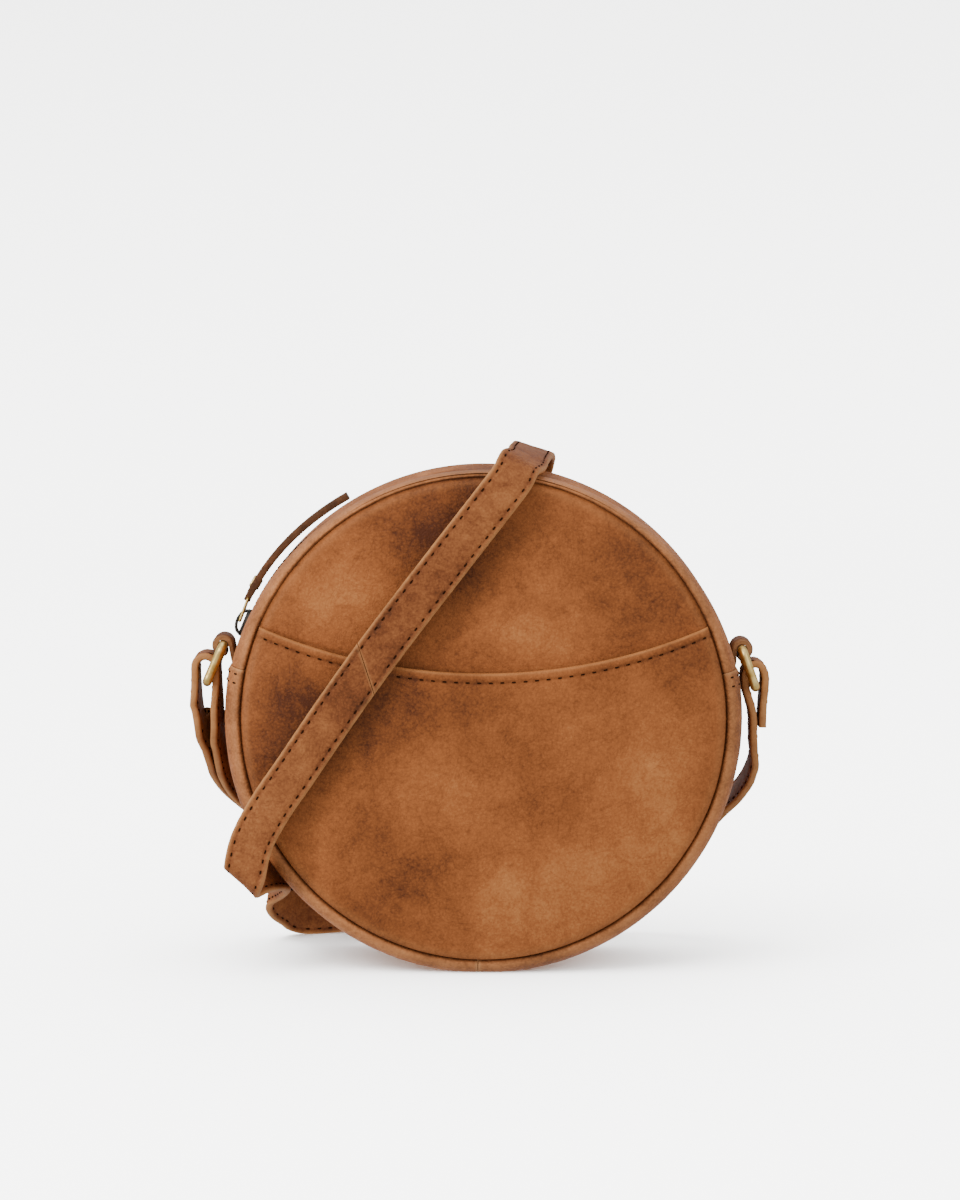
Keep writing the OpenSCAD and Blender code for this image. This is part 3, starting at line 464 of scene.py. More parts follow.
def leather(name, tones, edge, blotch_mm, rough=0.5, seed=0.0):
    """Oiled full-grain leather: soft blotches, finer clouds, pebble grain with darker pores, thin creases
    painted darker as shade, and edges rubbed lighter. An attribute shifts a place darker or lighter, both as
    the leather's own tone and as painted shade, and the wear attribute lightens it."""
    mat, tree, shader = blank(name, **{"Specular IOR Level": 0.1})
    coord = add_node(tree, "ShaderNodeTexCoord", out="Object")
    at = add_node(tree, "ShaderNodeMapping", {"Vector": coord, "Location": (seed, seed * 0.7, seed * 1.3)})
    # This attribute carries the leather's own tone and also painted shade at seams and stitch rows
    tone = add_node(tree, "ShaderNodeAttribute", out="Fac", attribute_name="tone")
    wear = add_node(tree, "ShaderNodeAttribute", out="Fac", attribute_name="wear")
    # Blotches, clouds, flecks of 2.6 mm and the finest grain that shows, each with its share of the tone
    layers = [(blotch_mm, 3.0, 0.7, 0.7), (blotch_mm * 0.3, 5.0, 0.5, 0.42), (2.6, 5.0, 0.3, 0.27),
              (0.8, 3.0, 0.0, 0.42)]
    noises, total, offset = [], tone, 0.5
    for size_mm, detail, bend, share in layers:
        noise = add_node(tree, "ShaderNodeTexNoise", {
            "Vector": at, "Scale": 1000.0 / size_mm, "Detail": detail, "Roughness": 0.6, "Distortion": bend})
        total = add_node(tree, "ShaderNodeMath", {0: noise, 1: share, 2: total}, operation="MULTIPLY_ADD")
        offset -= 0.5 * share
        noises.append(noise)
    _, clouds, flecks, grain = noises
    pebble = add_node(tree, "ShaderNodeTexVoronoi", {"Vector": at, "Scale": 1000.0 / PEBBLE})
    total = add_node(tree, "ShaderNodeMath", {0: pebble, 1: -0.18, 2: total}, operation="MULTIPLY_ADD")
    total = add_node(tree, "ShaderNodeMath", {0: total, 1: offset + 0.07}, operation="ADD")
    # Creases about 11 mm apart run where this noise passes through its middle; they are sunk by the bump and
    # also painted darker, which is painted shade
    line = add_node(tree, "ShaderNodeTexNoise", {
        "Vector": at, "Scale": 1000.0 / 11.0, "Detail": 4.0, "Roughness": 0.62, "Distortion": 1.4})
    line = add_node(tree, "ShaderNodeMath", {0: line, 1: 0.5}, operation="SUBTRACT")
    line = add_node(tree, "ShaderNodeMath", {0: line}, operation="ABSOLUTE")
    line = add_node(tree, "ShaderNodeMath", {0: line, 1: 0.035, 2: 0.03}, operation="SMOOTH_MIN")
    # Painted shade: the creases are made darker
    total = add_node(tree, "ShaderNodeMath", {0: line, 1: 2.2, 2: total}, operation="MULTIPLY_ADD")
    total = add_node(tree, "ShaderNodeMath", {0: total, 1: 0.05}, operation="SUBTRACT")
    base = add_node(tree, "ShaderNodeValToRGB", {"Fac": total}, stops=[
        (0.05, srgb(tones[0])), (0.34, srgb(tones[1])), (0.6, srgb(tones[2])), (0.95, srgb(tones[3]))])
    rub = add_node(tree, "ShaderNodeMath", {0: clouds, 1: 1.3, 2: 0.1}, operation="MULTIPLY_ADD")
    rub = add_node(tree, "ShaderNodeMath", {0: wear, 1: rub}, operation="MULTIPLY", use_clamp=True)
    colour = add_node(tree, "ShaderNodeMix", {0: rub, 6: base, 7: srgb(edge)}, out=2, data_type="RGBA")
    tree.links.new(colour, shader.inputs["Base Color"])
    gloss = add_node(tree, "ShaderNodeMath", {0: clouds, 1: 0.24, 2: rough - 0.12}, operation="MULTIPLY_ADD")
    tree.links.new(gloss, shader.inputs["Roughness"])
    height = add_node(tree, "ShaderNodeMath", {0: pebble, 1: -0.6, 2: grain}, operation="MULTIPLY_ADD")
    height = add_node(tree, "ShaderNodeMath", {0: flecks, 1: 0.8, 2: height}, operation="MULTIPLY_ADD")
    height = add_node(tree, "ShaderNodeMath", {0: line, 1: 12.0, 2: height}, operation="MULTIPLY_ADD")
    bump = add_node(tree, "ShaderNodeBump", {"Height": height, "Strength": 0.5, "Distance": 0.00025})
    tree.links.new(bump, shader.inputs["Normal"])
    return mat


def metal(name, colour, worn, rough):
    """Plated metal: darker in soft patches of 4 mm, which are also rougher."""
    mat, tree, shader = blank(name, Metallic=1.0)
    coord = add_node(tree, "ShaderNodeTexCoord", out="Object")
    patch = add_node(tree, "ShaderNodeTexNoise", {"Vector": coord, "Scale": 1000.0 / 4.0, "Detail": 4.0})
    tint = add_node(tree, "ShaderNodeValToRGB", {"Fac": patch},
                    stops=[(0.35, srgb(worn)), (0.62, srgb(colour))])
    tree.links.new(tint, shader.inputs["Base Color"])
    gloss = add_node(tree, "ShaderNodeMath", {0: patch, 1: -0.25, 2: rough + 0.12}, operation="MULTIPLY_ADD")
    tree.links.new(gloss, shader.inputs["Roughness"])
    return mat


def textile(name, colour, thread_mm, rough=0.9, shine=0.3):
    """Cloth or thread: crossed threads at their real size over soft shading in patches of 6 mm."""
    mat, tree, shader = blank(name, Roughness=rough, **{"Specular IOR Level": shine})
    coord = add_node(tree, "ShaderNodeTexCoord", out="Object")
    weave = add_node(tree, "ShaderNodeTexChecker", {"Vector": coord, "Scale": 1000.0 / thread_mm}, out="Fac")
    soft = add_node(tree, "ShaderNodeTexNoise", {"Vector": coord, "Scale": 1000.0 / 6.0, "Detail": 3.0})
    mixed = add_node(tree, "ShaderNodeMath", {0: weave, 1: 0.3, 2: soft}, operation="MULTIPLY_ADD")
    dark = tuple(c * 0.6 for c in srgb(colour)[:3]) + (1.0,)
    tint = add_node(tree, "ShaderNodeValToRGB", {"Fac": mixed}, stops=[(0.3, dark), (0.9, srgb(colour))])
    tree.links.new(tint, shader.inputs["Base Color"])
    return mat


# Oiled cowhide of the two discs and the slip pocket: mottled, satin, fine pebble grain
body_leather = leather("oiled cowhide, body", ("#522b19", "#814925", "#9d5c31", "#b97946"), "#bb7e4b", 38.0)
# The same hide on the gusset, lighter where it is bent
gusset_leather = leather("oiled cowhide, gusset", ("#55301c", "#8a522d", "#b26f42", "#cf925d"), "#c99060",
                         30.0, seed=0.31)
# The same hide on the strap: shorter blotches, more rubbed and a little duller
strap_leather = leather("oiled cowhide, strap", ("#452616", "#744124", "#945a33", "#b17546"), "#bd8554",
                        22.0, 0.54, 0.57)
# Darker hide on the tabs and the pull, with the smallest blotches
trim_leather = leather("oiled cowhide, trim", ("#2e1a12", "#553220", "#75472d", "#93623f"), "#a1734d",
                       12.0, 0.54, 0.83)
# Waxed brown polyester thread, dull and nearly black in its holes
stitch_thread = textile("waxed thread", "#2b1408", 0.5, shine=0.04)
# Satin antique brass plate on steel wire: warm gold, duller in soft patches
brass = metal("antique brass plate", "#f4d68e", "#c9a558", 0.4)
# Dark gunmetal plate on the zip: grey, with nearly black patches
gunmetal = metal("gunmetal plate", "#6d6a64", "#3b3936", 0.36)
# Woven polyester zip tape: dull brown
tape_cloth = textile("zip tape", "#4a3626", 0.5)
# Cotton lining in plain weave: dull sand colour
lining_cloth = textile("cotton lining", "#8a7558", 0.4)
# Polyether foam backing with open cells: pale and matt
foam_mat = textile("foam backing", "#d8d0bd", 0.8, 0.95)


# Soft darker (-) and lighter (+) patches of the front, as x, z, radius and strength: partly the leather's own
# mottling, and partly painted shade that darkens the top and mostly lightens the lower part
PATCHES = [
    (-14, 170, 26, -0.42), (-50, 150, 22, 0.14), (-62, 128, 14, 0.06), (30, 150, 26, 0.02),
    (62, 150, 24, -0.18), (-72, 96, 23, -0.5), (-38, 106, 20, -0.26), (-4, 104, 22, -0.12),
    (66, 96, 26, 0.12), (-66, 60, 16, 0.1), (24, 66, 24, -0.12), (40, 40, 24, 0.24), (6, 26, 20, 0.12),
    (-36, 34, 24, -0.22), (80, 120, 14, -0.14), (16, 132, 18, 0.1), (52, 26, 16, -0.1), (2, 76, 18, 0.08),
    (64, 64, 26, 0.14),
]


def tone_and_shade_at(x, z):
    """How much lighter or darker the front's leather is painted at a place, by its own mottling and by
    painted shade.
    """
    t = np.zeros_like(np.asarray(x, float))
    for patch_x, patch_z, r, strength in PATCHES:
        t = t + strength * np.exp(-((x - patch_x) ** 2 + (z - patch_z) ** 2) / (r * r))
    return t


def soft_noise(x, z, size, seed):
    """Cheap smooth waviness from a few crossed sines."""
    r = random.Random(seed)
    out = np.zeros_like(x)
    for _ in range(6):
        a = r.uniform(0, math.pi)
        k = 2 * math.pi / (size * r.uniform(0.7, 1.6))
        out = out + np.sin(k * (x * math.cos(a) + z * math.sin(a)) + r.uniform(0, 6.28))
    return out / 6


def hump(distance, width, power=2):
    """1 at no distance, falling softly to nothing over a few widths."""
    return np.exp(-(distance / width) ** power)


# The two discs


def panel_height(r, theta, x, z, front):
    """How far the leather of a disc stands in front of its seam's plane: a low crown with a groove along the
    seam, puckers beside it and slight waves."""
    q = np.clip(r / SEAM_R, 0, 1)
    seed = 3 if front else 8
    h = (FRONT_CROWN if front else BACK_CROWN) * (1 - q ** 3.0)
    h = h - DISC_GROOVE * hump(SEAM_R - r, DISC_GROOVE_W, 1.5)
    near_seam = hump(r - SEAM_R * 0.9, SEAM_R * 0.13)
    puckers = np.sin(theta * 23 + 2.2 * np.sin(theta * 5 + seed)) * (0.5 + 0.5 * np.sin(theta * 3 + seed))
    h = h + 0.28 * near_seam * puckers
    return h + 0.5 * soft_noise(x, z, 70.0, seed) * (1 - q ** 4) + 0.12 * soft_noise(x, z, 22.0, seed + 1)


def close_centre(verts, faces, rings, segs):
    """Closes the small hole in the middle of both faces of a disc that shell made."""
    m = rings * segs
    inner_ring = {(j, m + j, m + (j + 1) % segs, (j + 1) % segs) for j in range(segs)}
    faces = [f for f in faces if f not in inner_ring]
    for base in (0, m):
        faces += [(base + k, base + (k + 1) % segs, len(verts)) for k in range(segs)]
        verts = np.concatenate([verts, [verts[base:base + segs].mean(0)]])
    return verts, faces


def disc(name, front):
    """The leather of one disc, up to its seam."""
    rings, segs = 72, 220
    r = SEAM_R * np.sin(np.linspace(0.02, 1, rings) * math.pi / 2)
    th = np.linspace(0, 2 * math.pi, segs, endpoint=False)
    rr, tt = np.meshgrid(r, th, indexing="ij")
    x = rr * np.cos(tt)
    z = CENTRE_H + rr * np.sin(tt)
    sign = -1 if front else 1
    p = np.stack([x, sign * (HALF_DEPTH + panel_height(rr, tt, x, z, front)), z], axis=2)
    wear = 0.2 * hump(SEAM_R - rr - 2.2, 1.6)
    tone = tone_and_shade_at(x, z) if front else 0.15 * soft_noise(x, z, 60.0, 5)
    # Painted shade: the leather is darker in the groove along the seam
    tone = tone - 0.2 * hump(SEAM_R - rr, 0.6)
    side = side_towards(p, (5, 0), (0, sign, 0), True)
    verts, faces, attrs = shell(p, LEATHER_T, side, True, {"wear": wear, "tone": tone}, edge_round=0.0)
    verts, faces = close_centre(verts, faces, rings, segs)
    attrs = {k: np.append(v, [v[0], v[0]]) for k, v in attrs.items()}
    return new_object(name, verts, faces, [body_leather], attrs=attrs)


front_disc = disc("front panel leather", True)
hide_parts("front_panel")
back_disc = disc("back panel leather", False)
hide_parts("back_panel")

# Foam and lining behind the discs


def backing(name, front, behind, thick, mat, node):
    """A thin disc that follows the leather at a distance behind its outer face."""
    rings, segs = 26, 120
    around = np.linspace(0, 2 * math.pi, segs, endpoint=False)
    rr, tt = np.meshgrid(np.linspace(0.5, LINING_R, rings), around, indexing="ij")
    x, z = rr * np.cos(tt), CENTRE_H + rr * np.sin(tt)
    sign = -1 if front else 1
    p = np.stack([x, sign * (HALF_DEPTH + panel_height(rr, tt, x, z, front) - behind), z], axis=2)
    verts, faces, _ = shell(p, thick, closed=True, facing=(0, sign, 0), edge_round=0.0)
    verts, faces = close_centre(verts, faces, rings, segs)
    obj = new_object(name, verts, faces, [mat])
    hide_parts(node)
    return obj


for side_name, front in (("front", True), ("back", False)):
    pad = backing(side_name + " foam pad", front, LEATHER_T + 0.1, FOAM_T, foam_mat, side_name + "_foam")
    cloth = backing(side_name + " lining cloth", front, LEATHER_T + FOAM_T + 0.2, CLOTH_T, lining_cloth,
                    side_name + "_lining")

# The zip's line, and the lining of the gusset that follows it


def zip_radius(angle, level=ZIP_R):
    """Distance from the disc's centre to a level of the zip's arc, at an angle about the disc's centre."""
    a = math.radians(angle)
    return -ZIP_SHIFT * math.sin(a) + math.sqrt(level ** 2 - (ZIP_SHIFT * math.cos(a)) ** 2)


def zip_sink(angle):
    """How far the zip lies below its level: sunk at the top, level beside the slider and low on the right."""
    return ZIP_SINK * (1 - np.maximum(hump(angle - 146.0, 17.0, 4), hump(angle - 19.0, 8.0, 4)))


def zip_drop(angle, y):
    """How far the leather beside the zip has sunk with it at a depth y."""
    level_half = HALF_DEPTH - ROLL_DEPTH
    share = np.clip((level_half - np.abs(y)) / (level_half - ZIP_OPEN), 0, 1)
    return 1.1 * zip_sink(angle) * share ** 1.2


def area_of(p):
    """Area of a grid of points, in square millimetres."""
    across, down = np.diff(p, axis=1)[:-1], np.diff(p, axis=0)[:, :-1]
    return float(np.linalg.norm(np.cross(across, down), axis=2).sum())


def lining_band():
    """Cloth inside the gusset: a plain band below, and two strips that rise to the zip's tapes above."""
    band = Parts()
    lower = np.linspace(LEFT_CAP + 0.3, 360 + RIGHT_CAP - 0.3, 130)
    upper = np.linspace(RIGHT_CAP + 0.3, LEFT_CAP - 0.3, 110)
    grids = [(lower, [[(BAND_R, y) for y in np.linspace(-BAND_EDGE, BAND_EDGE, 14)] for _ in lower])]
    for sign in (-1, 1):
        rows = []
        for a in upper:
            rim = zip_radius(a, TAPE_UNDER - float(zip_sink(a)))
            rise = [(BAND_R + (rim - BAND_R) * k, sign * LIP_Y) for k in (0.15, 0.5, 1.0)]
            rows.append([(BAND_R, sign * y) for y in np.linspace(BAND_EDGE, LIP_Y + 0.4, 8)] + rise)
        grids.append((upper, rows))
    total = 0.0
    for span, rows in grids:
        p = np.array([[(r * math.cos(a), y, CENTRE_H + r * math.sin(a)) for r, y in row]
                      for a, row in zip(np.radians(span), rows)])
        at = (len(p) // 2, 3)
        band.add(*shell(p, CLOTH_T, side_towards(p, at, p[at] * (1, 0, 1) - (0, 0, CENTRE_H)))[:2])
        total += area_of(p)
    return band, total


band, band_area = lining_band()
band = band.build("gusset lining cloth", [lining_cloth])
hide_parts("gusset_lining")

# The pockets


def mouth_ends(low, sag, radius):
    """Half the width of a pocket's mouth inside a circle, and the radius that it sags in."""
    half = math.sqrt(radius ** 2 - (low + sag) ** 2) - MOUTH_GAP
    return half, (half ** 2 + sag ** 2) / (2 * sag)


def pocket_grid(low, sag, radius, edge_r, share, cols):
    """Points x and z of a pocket from its sagging mouth, at share 0, to the seam's arc, at share 1."""
    half, bow = mouth_ends(low, sag, radius)
    u = np.linspace(-1, 1, cols)
    first = math.atan2(low + sag, -half)
    arc = first + (u + 1) / 2 * (2 * math.pi + math.atan2(low + sag, half) - first)
    x = half * np.sin(u * math.pi / 2 * 0.999)
    z = CENTRE_H + low + bow - np.sqrt(bow ** 2 - x ** 2)
    k = share[:, None]
    return x * (1 - k) + edge_r * np.cos(arc) * k, z * (1 - k) + (CENTRE_H + edge_r * np.sin(arc)) * k


# The inner pocket, before the back lining and slightly bulged like it
x, z = pocket_grid(INNER_LOW, INNER_SAG, INNER_R, INNER_R, np.linspace(0, 1, 40), 90)
bulge = INNER_BULGE * (1 - (np.hypot(x, z - CENTRE_H) / INNER_R) ** 2)
sheet = np.stack([x, INNER_Y + bulge, z], axis=2)
inner = new_object("inner pocket cloth", *shell(sheet, CLOTH_T, facing=(0, -1, 0))[:2], [lining_cloth])
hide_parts("inner_pocket")

MOUTH_X, MOUTH_R = mouth_ends(MOUTH_LOW, MOUTH_SAG, SEAM_R)


def mouth_z(x):
    """Height of the slip pocket's mouth at x."""
    return CENTRE_H + MOUTH_LOW + MOUTH_R - np.sqrt(MOUTH_R ** 2 - np.clip(x, -MOUTH_X, MOUTH_X) ** 2)


def pocket_lift(x, z, r):
    """How far the pocket stands in front of the disc: slack in the middle, tight at the seam."""
    q = np.clip(r / POCKET_EDGE, 0, 1)
    return 0.25 + 1.15 * (1 - q ** 5) + 0.7 * (1 - q ** 3) * hump(mouth_z(x) - z, 22.0)


def pocket_face(x, z):
    """Depth towards the camera of the pocket's outer face, with its hem and the dip of the hem's stitches."""
    r = np.hypot(x, z - CENTRE_H)
    h = panel_height(r, np.arctan2(z - CENTRE_H, x), x, z, True)
    below = mouth_z(x) - z
    hem = 0.55 / (1 + np.exp((below - HEM_ROW) / 0.35))
    dip = 0.32 * hump(below - HEM_ROW, 0.9)
    return HALF_DEPTH + h + pocket_lift(x, z, r) + LEATHER_T + hem - dip


# The rows of points are closer near the mouth, for its hem and its rounded lip
shares = np.concatenate([np.linspace(0, 0.1, 26), np.linspace(0.1, 1, 85)[1:]])
x, z = pocket_grid(MOUTH_LOW, MOUTH_SAG, SEAM_R, POCKET_EDGE, shares, 260)
below = mouth_z(x) - z
from_seam = SEAM_R - np.hypot(x, z - CENTRE_H)
y = -pocket_face(x, z) + 0.7 * np.clip(1 - below / 0.8, 0, 1) ** 2
wear = 0.7 * hump(below, 0.9) + 0.2 * hump(from_seam - 2.2, 1.5)
# Painted shade: darker in the dip of the hem's stitch row and along the seam, added to the front's patches
tone = tone_and_shade_at(x, z) - 0.14 * hump(below - HEM_ROW, 0.7) - 0.2 * hump(from_seam, 0.6)
verts, faces, attrs = shell(np.stack([x, y, z], axis=2), LEATHER_T, attrs={"wear": wear, "tone": tone},
                            edge_round=0.0, facing=(0, -1, 0))
pocket = new_object("slip pocket leather", verts, faces, [body_leather], attrs=attrs)
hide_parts("slip_pocket")

# All stitches of the bag's body are gathered here, first those of the pocket's hem
sew = Parts()
line_x = np.linspace(-MOUTH_X + 0.4, MOUTH_X - 0.4, 600)
line_z = mouth_z(line_x) - HEM_ROW
length = run_lengths(np.stack([line_x, line_z], axis=1))
for d in np.arange(STITCH / 2, length[-1], STITCH):
    x, z = float(np.interp(d, length, line_x)), float(np.interp(d, length, line_z))
    x2 = float(np.interp(min(d + 1, length[-1]), length, line_x))
    along = unit(np.array([x2 - x, 0, float(mouth_z(x2) - mouth_z(x))]))
    stitch(sew, (x, -float(pocket_face(x, z)), z), along, (0, -1, 0))

# The lower gusset


def roll_points(edge_r, count=15):
    """Profile of the leather from its turned-in seam edge round to the gusset: radii and depths."""
    a = np.linspace(0, 1, count) * math.pi / 2
    radii = SEAM_R + (edge_r - SEAM_R) * np.sin(a)
    depths = HALF_DEPTH - ROLL_DEPTH * (1 - np.cos(a))
    depths = depths - GROOVE * np.exp(-(radii - SEAM_R) / GROOVE_W)
    return np.append(SEAM_R - 0.4, radii), np.append(depths[0] - ALLOWANCE, depths)


def gusset(name, a0, a1):
    """One half of the lower gusset, rolled over to both seams, slightly hollow and wavy, flat at the foot."""
    n = int(abs(a1 - a0) * 1.3)
    th = np.radians(np.linspace(a0, a1, n))
    radii, depths = roll_points(GUSSET_R, 16)
    flat = np.linspace(depths[-1], -depths[-1], 26)[1:-1]
    profile_r = np.concatenate([radii, np.full(len(flat), GUSSET_R), radii[::-1]])
    profile_y = np.concatenate([-depths, -flat, depths[::-1]])
    tt, rr = np.meshgrid(th, profile_r, indexing="ij")
    _, yy = np.meshgrid(th, profile_y, indexing="ij")
    middle = np.clip(1 - (np.abs(yy) / 26.0) ** 2, 0, 1)
    wave = 0.35 * np.sin(tt * 31 + 1.5 * np.sin(tt * 7)) * np.sin(yy / 7.0 + tt * 9) * middle
    rr = rr + wave * 0.6 - 0.5 * middle
    p = np.stack([rr * np.cos(tt), yy, np.maximum(CENTRE_H + rr * np.sin(tt), 0.0)], axis=2)
    from_end = np.minimum(np.abs(tt - th[0]), np.abs(tt - th[-1])) * GUSSET_R
    wear = 0.3 * hump(rr - SEAM_R - 2.6, 1.7) * (np.abs(yy) > 20) + 0.7 * hump(from_end, 0.8)
    # Painted shade: darker where the roll runs into the seam's groove; the slow waves are the leather's own
    # tone
    tone = 0.12 * np.sin(tt * 4 + 1.0) * np.sin(yy / 15) - 0.35 * hump(rr - SEAM_R, 0.7)
    at = (n // 2, 24)
    verts, faces, attrs = shell(p, LEATHER_T, side_towards(p, at, p[at] - (0, 0, CENTRE_H)),
                                attrs={"wear": wear, "tone": tone}, edge_round=0.2)
    return new_object(name, verts, faces, [gusset_leather], attrs=attrs)


gusset_l = gusset("left gusset leather", LEFT_CAP, BASE_SEAM - BUTT_GAP)
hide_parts("gusset_left")
gusset_r = gusset("right gusset leather", BASE_SEAM + BUTT_GAP, 360 + RIGHT_CAP)
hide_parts("gusset_right")


def rim_point(angle, y, zip_side):
    """A point on the outer face of the gusset, or of the leather beside the zip, and its outward normal."""
    a = math.radians(angle)
    rim = zip_radius(angle) if zip_side else GUSSET_R
    if abs(y) <= HALF_DEPTH - ROLL_DEPTH:
        rad, nr, ny = rim - (float(zip_drop(angle, y)) if zip_side else 0.0), 1.0, 0.0
    else:
        t = math.acos(max(-1.0, min(1.0, 1 - (HALF_DEPTH - abs(y)) / ROLL_DEPTH)))
        rad = SEAM_R + (rim - SEAM_R) * math.sin(t)
        nr, ny = unit(np.array([math.sin(t) * ROLL_DEPTH, math.cos(t) * (rim - SEAM_R)]))
        ny = math.copysign(ny, y)
    n = np.array([nr * math.cos(a), ny, nr * math.sin(a)])
    return np.array([rad * math.cos(a), y, CENTRE_H + rad * math.sin(a)]), n


def rim_stitch(angle, y, turn=0.0, over=0.0, lift=0.0, zip_side=False):
    """A stitch of the bag's body on the rim, which runs by turn, in degrees, round the bag or by over, in
    millimetres, across it."""
    start, n = rim_point(angle, y, zip_side)
    end, n_end = rim_point(angle + turn, y + over, zip_side)
    stitch(sew, start + n * lift, unit(end + n_end * lift - start - n * lift), n)


for cap, step in ((LEFT_CAP, 1), (RIGHT_CAP, -1)):
    for row in CAP_ROWS:
        for i in range(-7, 8):
            if abs(i * STITCH) <= HALF_DEPTH - 1.5:
                rim_stitch(cap + step * math.degrees(row / GUSSET_R), i * STITCH, over=0.5)

# The zip gusset, tapes and teeth


def zip_strip(name, front):
    """The leather on one side of the zip, rolled over to the seam, with a thin lip and the dip of its row of
    stitches."""
    sign = -1 if front else 1
    flat = np.linspace(HALF_DEPTH - ROLL_DEPTH, ZIP_OPEN, 16)[1:]
    rows = []
    for angle in np.linspace(RIGHT_CAP + 0.1, LEFT_CAP - 0.1, 210):
        rim, a = zip_radius(angle), math.radians(angle)
        radii, depths = roll_points(rim)
        level = rim - 0.25 * np.clip((ZIP_OPEN + 1.6 - flat) / 1.6, 0, 1) ** 2
        level = level - 0.35 * hump(flat - ZIP_OPEN - ZIP_ROW, 0.7)
        wave = 0.25 * math.sin(a * 27 + 2 * math.sin(a * 6)) * np.clip(1 - np.abs(flat - 13) / 9, 0, 1)
        radii = np.concatenate([radii, level + wave - zip_drop(angle, flat)])
        depths = np.concatenate([depths, flat])
        rows.append(np.stack([radii * math.cos(a), sign * depths, CENTRE_H + radii * math.sin(a)], axis=1))
    p = np.array(rows)
    x, y, z = p[:, :, 0], np.abs(p[:, :, 1]), p[:, :, 2]
    beyond = np.hypot(x, z - CENTRE_H) - SEAM_R
    wear = 0.3 * hump(beyond - 2.0, 1.4) * (y > 22) + 0.4 * hump(y - ZIP_OPEN, 1.0)
    # Painted shade: darker where the roll runs into the seam's groove; the soft noise is the leather's own
    # tone
    tone = 0.15 * soft_noise(x, z, 50.0, 12) - 0.35 * hump(beyond, 0.7)
    verts, faces, attrs = shell(p, LEATHER_T, side_towards(p, (105, 20), (0, 0, 1)),
                                attrs={"wear": wear, "tone": tone}, edge_round=0.2)
    return new_object(name, verts, faces, [gusset_leather], attrs=attrs)


zip_f = zip_strip("front zip gusset leather", True)
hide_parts("zip_gusset_front")
zip_b = zip_strip("back zip gusset leather", False)
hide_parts("zip_gusset_back")

for sign in (-1, 1):
    for angle in np.arange(RIGHT_CAP + 1.5, LEFT_CAP - 1.5, math.degrees(STITCH / GUSSET_R)):
        rim_stitch(angle, sign * (ZIP_OPEN + ZIP_ROW), turn=0.3, lift=-0.3, zip_side=True)


def on_zip(angle, radius, y=0.0):
    """A point at an angle and radius of the zip's arc."""
    a = math.radians(angle)
    return np.array([radius * math.cos(a), y, ZIP_CENTRE_H + radius * math.sin(a)])


def zip_axes(angle):
    """Outward and forward directions at an angle of the zip's arc."""
    a = math.radians(angle)
    return np.array([math.cos(a), 0, math.sin(a)]), np.array([-math.sin(a), 0, math.cos(a)])


def zip_angle(cap):
    """Angle of a gusset's end about the centre of the zip's arc."""
    a = math.radians(cap)
    return math.degrees(math.atan2(GUSSET_R * math.sin(a) + ZIP_SHIFT, GUSSET_R * math.cos(a)))


def zip_block(parts, angle, radius, y, size, bevel):
    """Adds a small block that is turned with the zip's arc."""
    out, fwd = zip_axes(angle)
    parts.add(*block(on_zip(angle, radius, y), out, ACROSS, fwd, size, bevel))


ZIP_FROM, ZIP_TO = zip_angle(RIGHT_CAP), zip_angle(LEFT_CAP)
pitch_angle = math.degrees(TOOTH_PITCH / TOOTH_MID_R)

for name, sign, node in (("front zip tape", -1, "zip_tape_front"), ("back zip tape", 1, "zip_tape_back")):
    angles = np.linspace(ZIP_FROM + TAPE_END, ZIP_TO - TAPE_END, 150)
    depths = np.linspace(TAPE_IN, TAPE_OUT, 12)
    p = np.array([[on_zip(a, TAPE_R - zip_sink(a), sign * y) for y in depths] for a in angles])
    tape = new_object(name, *shell(p, TAPE_T, side_towards(p, (75, 5), (0, 0, 1)))[:2], [tape_cloth])
    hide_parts(node)

# The two rows of teeth, half a pitch apart, with a knob on each tooth that reaches over the middle
for name, sign, shift, node in (("front zip teeth", -1, 0.0, "zip_teeth_front"),
                                ("back zip teeth", 1, 0.5, "zip_teeth_back")):
    teeth = Parts()
    a = ZIP_FROM + TEETH_END + shift * pitch_angle
    while a < ZIP_TO - TEETH_END:
        tooth_r = TOOTH_MID_R + 0.25 - zip_sink(a)
        zip_block(teeth, a, tooth_r, sign * 1.7, TOOTH_SIZE, 0.35)
        zip_block(teeth, a, tooth_r, -sign * 0.5, KNOB_SIZE, 0.3)
        a += pitch_angle
    row = teeth.build(name, [gunmetal])
    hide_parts(node)

stops = Parts()
for sign in (-1, 1):
    zip_block(stops, ZIP_TO - TOP_STOP_END, TOOTH_MID_R + 0.2, sign * 2.0, TOP_STOP_SIZE, 0.4)
top_stops = stops.build("zip top stops metal", [gunmetal])
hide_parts("zip_top_stops")
stops = Parts()
zip_block(stops, ZIP_FROM + BOTTOM_STOP_END, TOOTH_MID_R + 0.2, 0.0, BOTTOM_STOP_SIZE, 0.5)
bottom_stop = stops.build("zip bottom stop metal", [gunmetal])
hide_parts("zip_bottom_stop")

# Slider, link and pull

out, fwd = zip_axes(SLIDER_ANGLE)


def plate(radius, thick):
    """A shield-shaped plate of the slider, wider at its mouth end."""
    shape = []
    for i in range(28):
        w = 2 * math.pi * i / 28
        s = math.copysign(abs(math.cos(w)) ** 0.6, math.cos(w))
        k = (s + 1) / 2
        half = PLATE_MOUTH / 2 * k + PLATE_TAIL / 2 * (1 - k)
        shape.append((PLATE_L / 2 * s, half * math.copysign(abs(math.sin(w)) ** 0.7, math.sin(w))))
    levels = ((0, PLATE_INSET), (PLATE_EDGE, 0), (thick - PLATE_EDGE, 0), (thick, PLATE_INSET))
    rings = []
    for rise, inset in levels:
        scale = 1 - inset / (PLATE_L / 2)
        centre = on_zip(SLIDER_ANGLE, radius + rise)
        rings.append([centre - fwd * (x * scale) + ACROSS * (y * scale) for x, y in shape])
    return loft(rings)


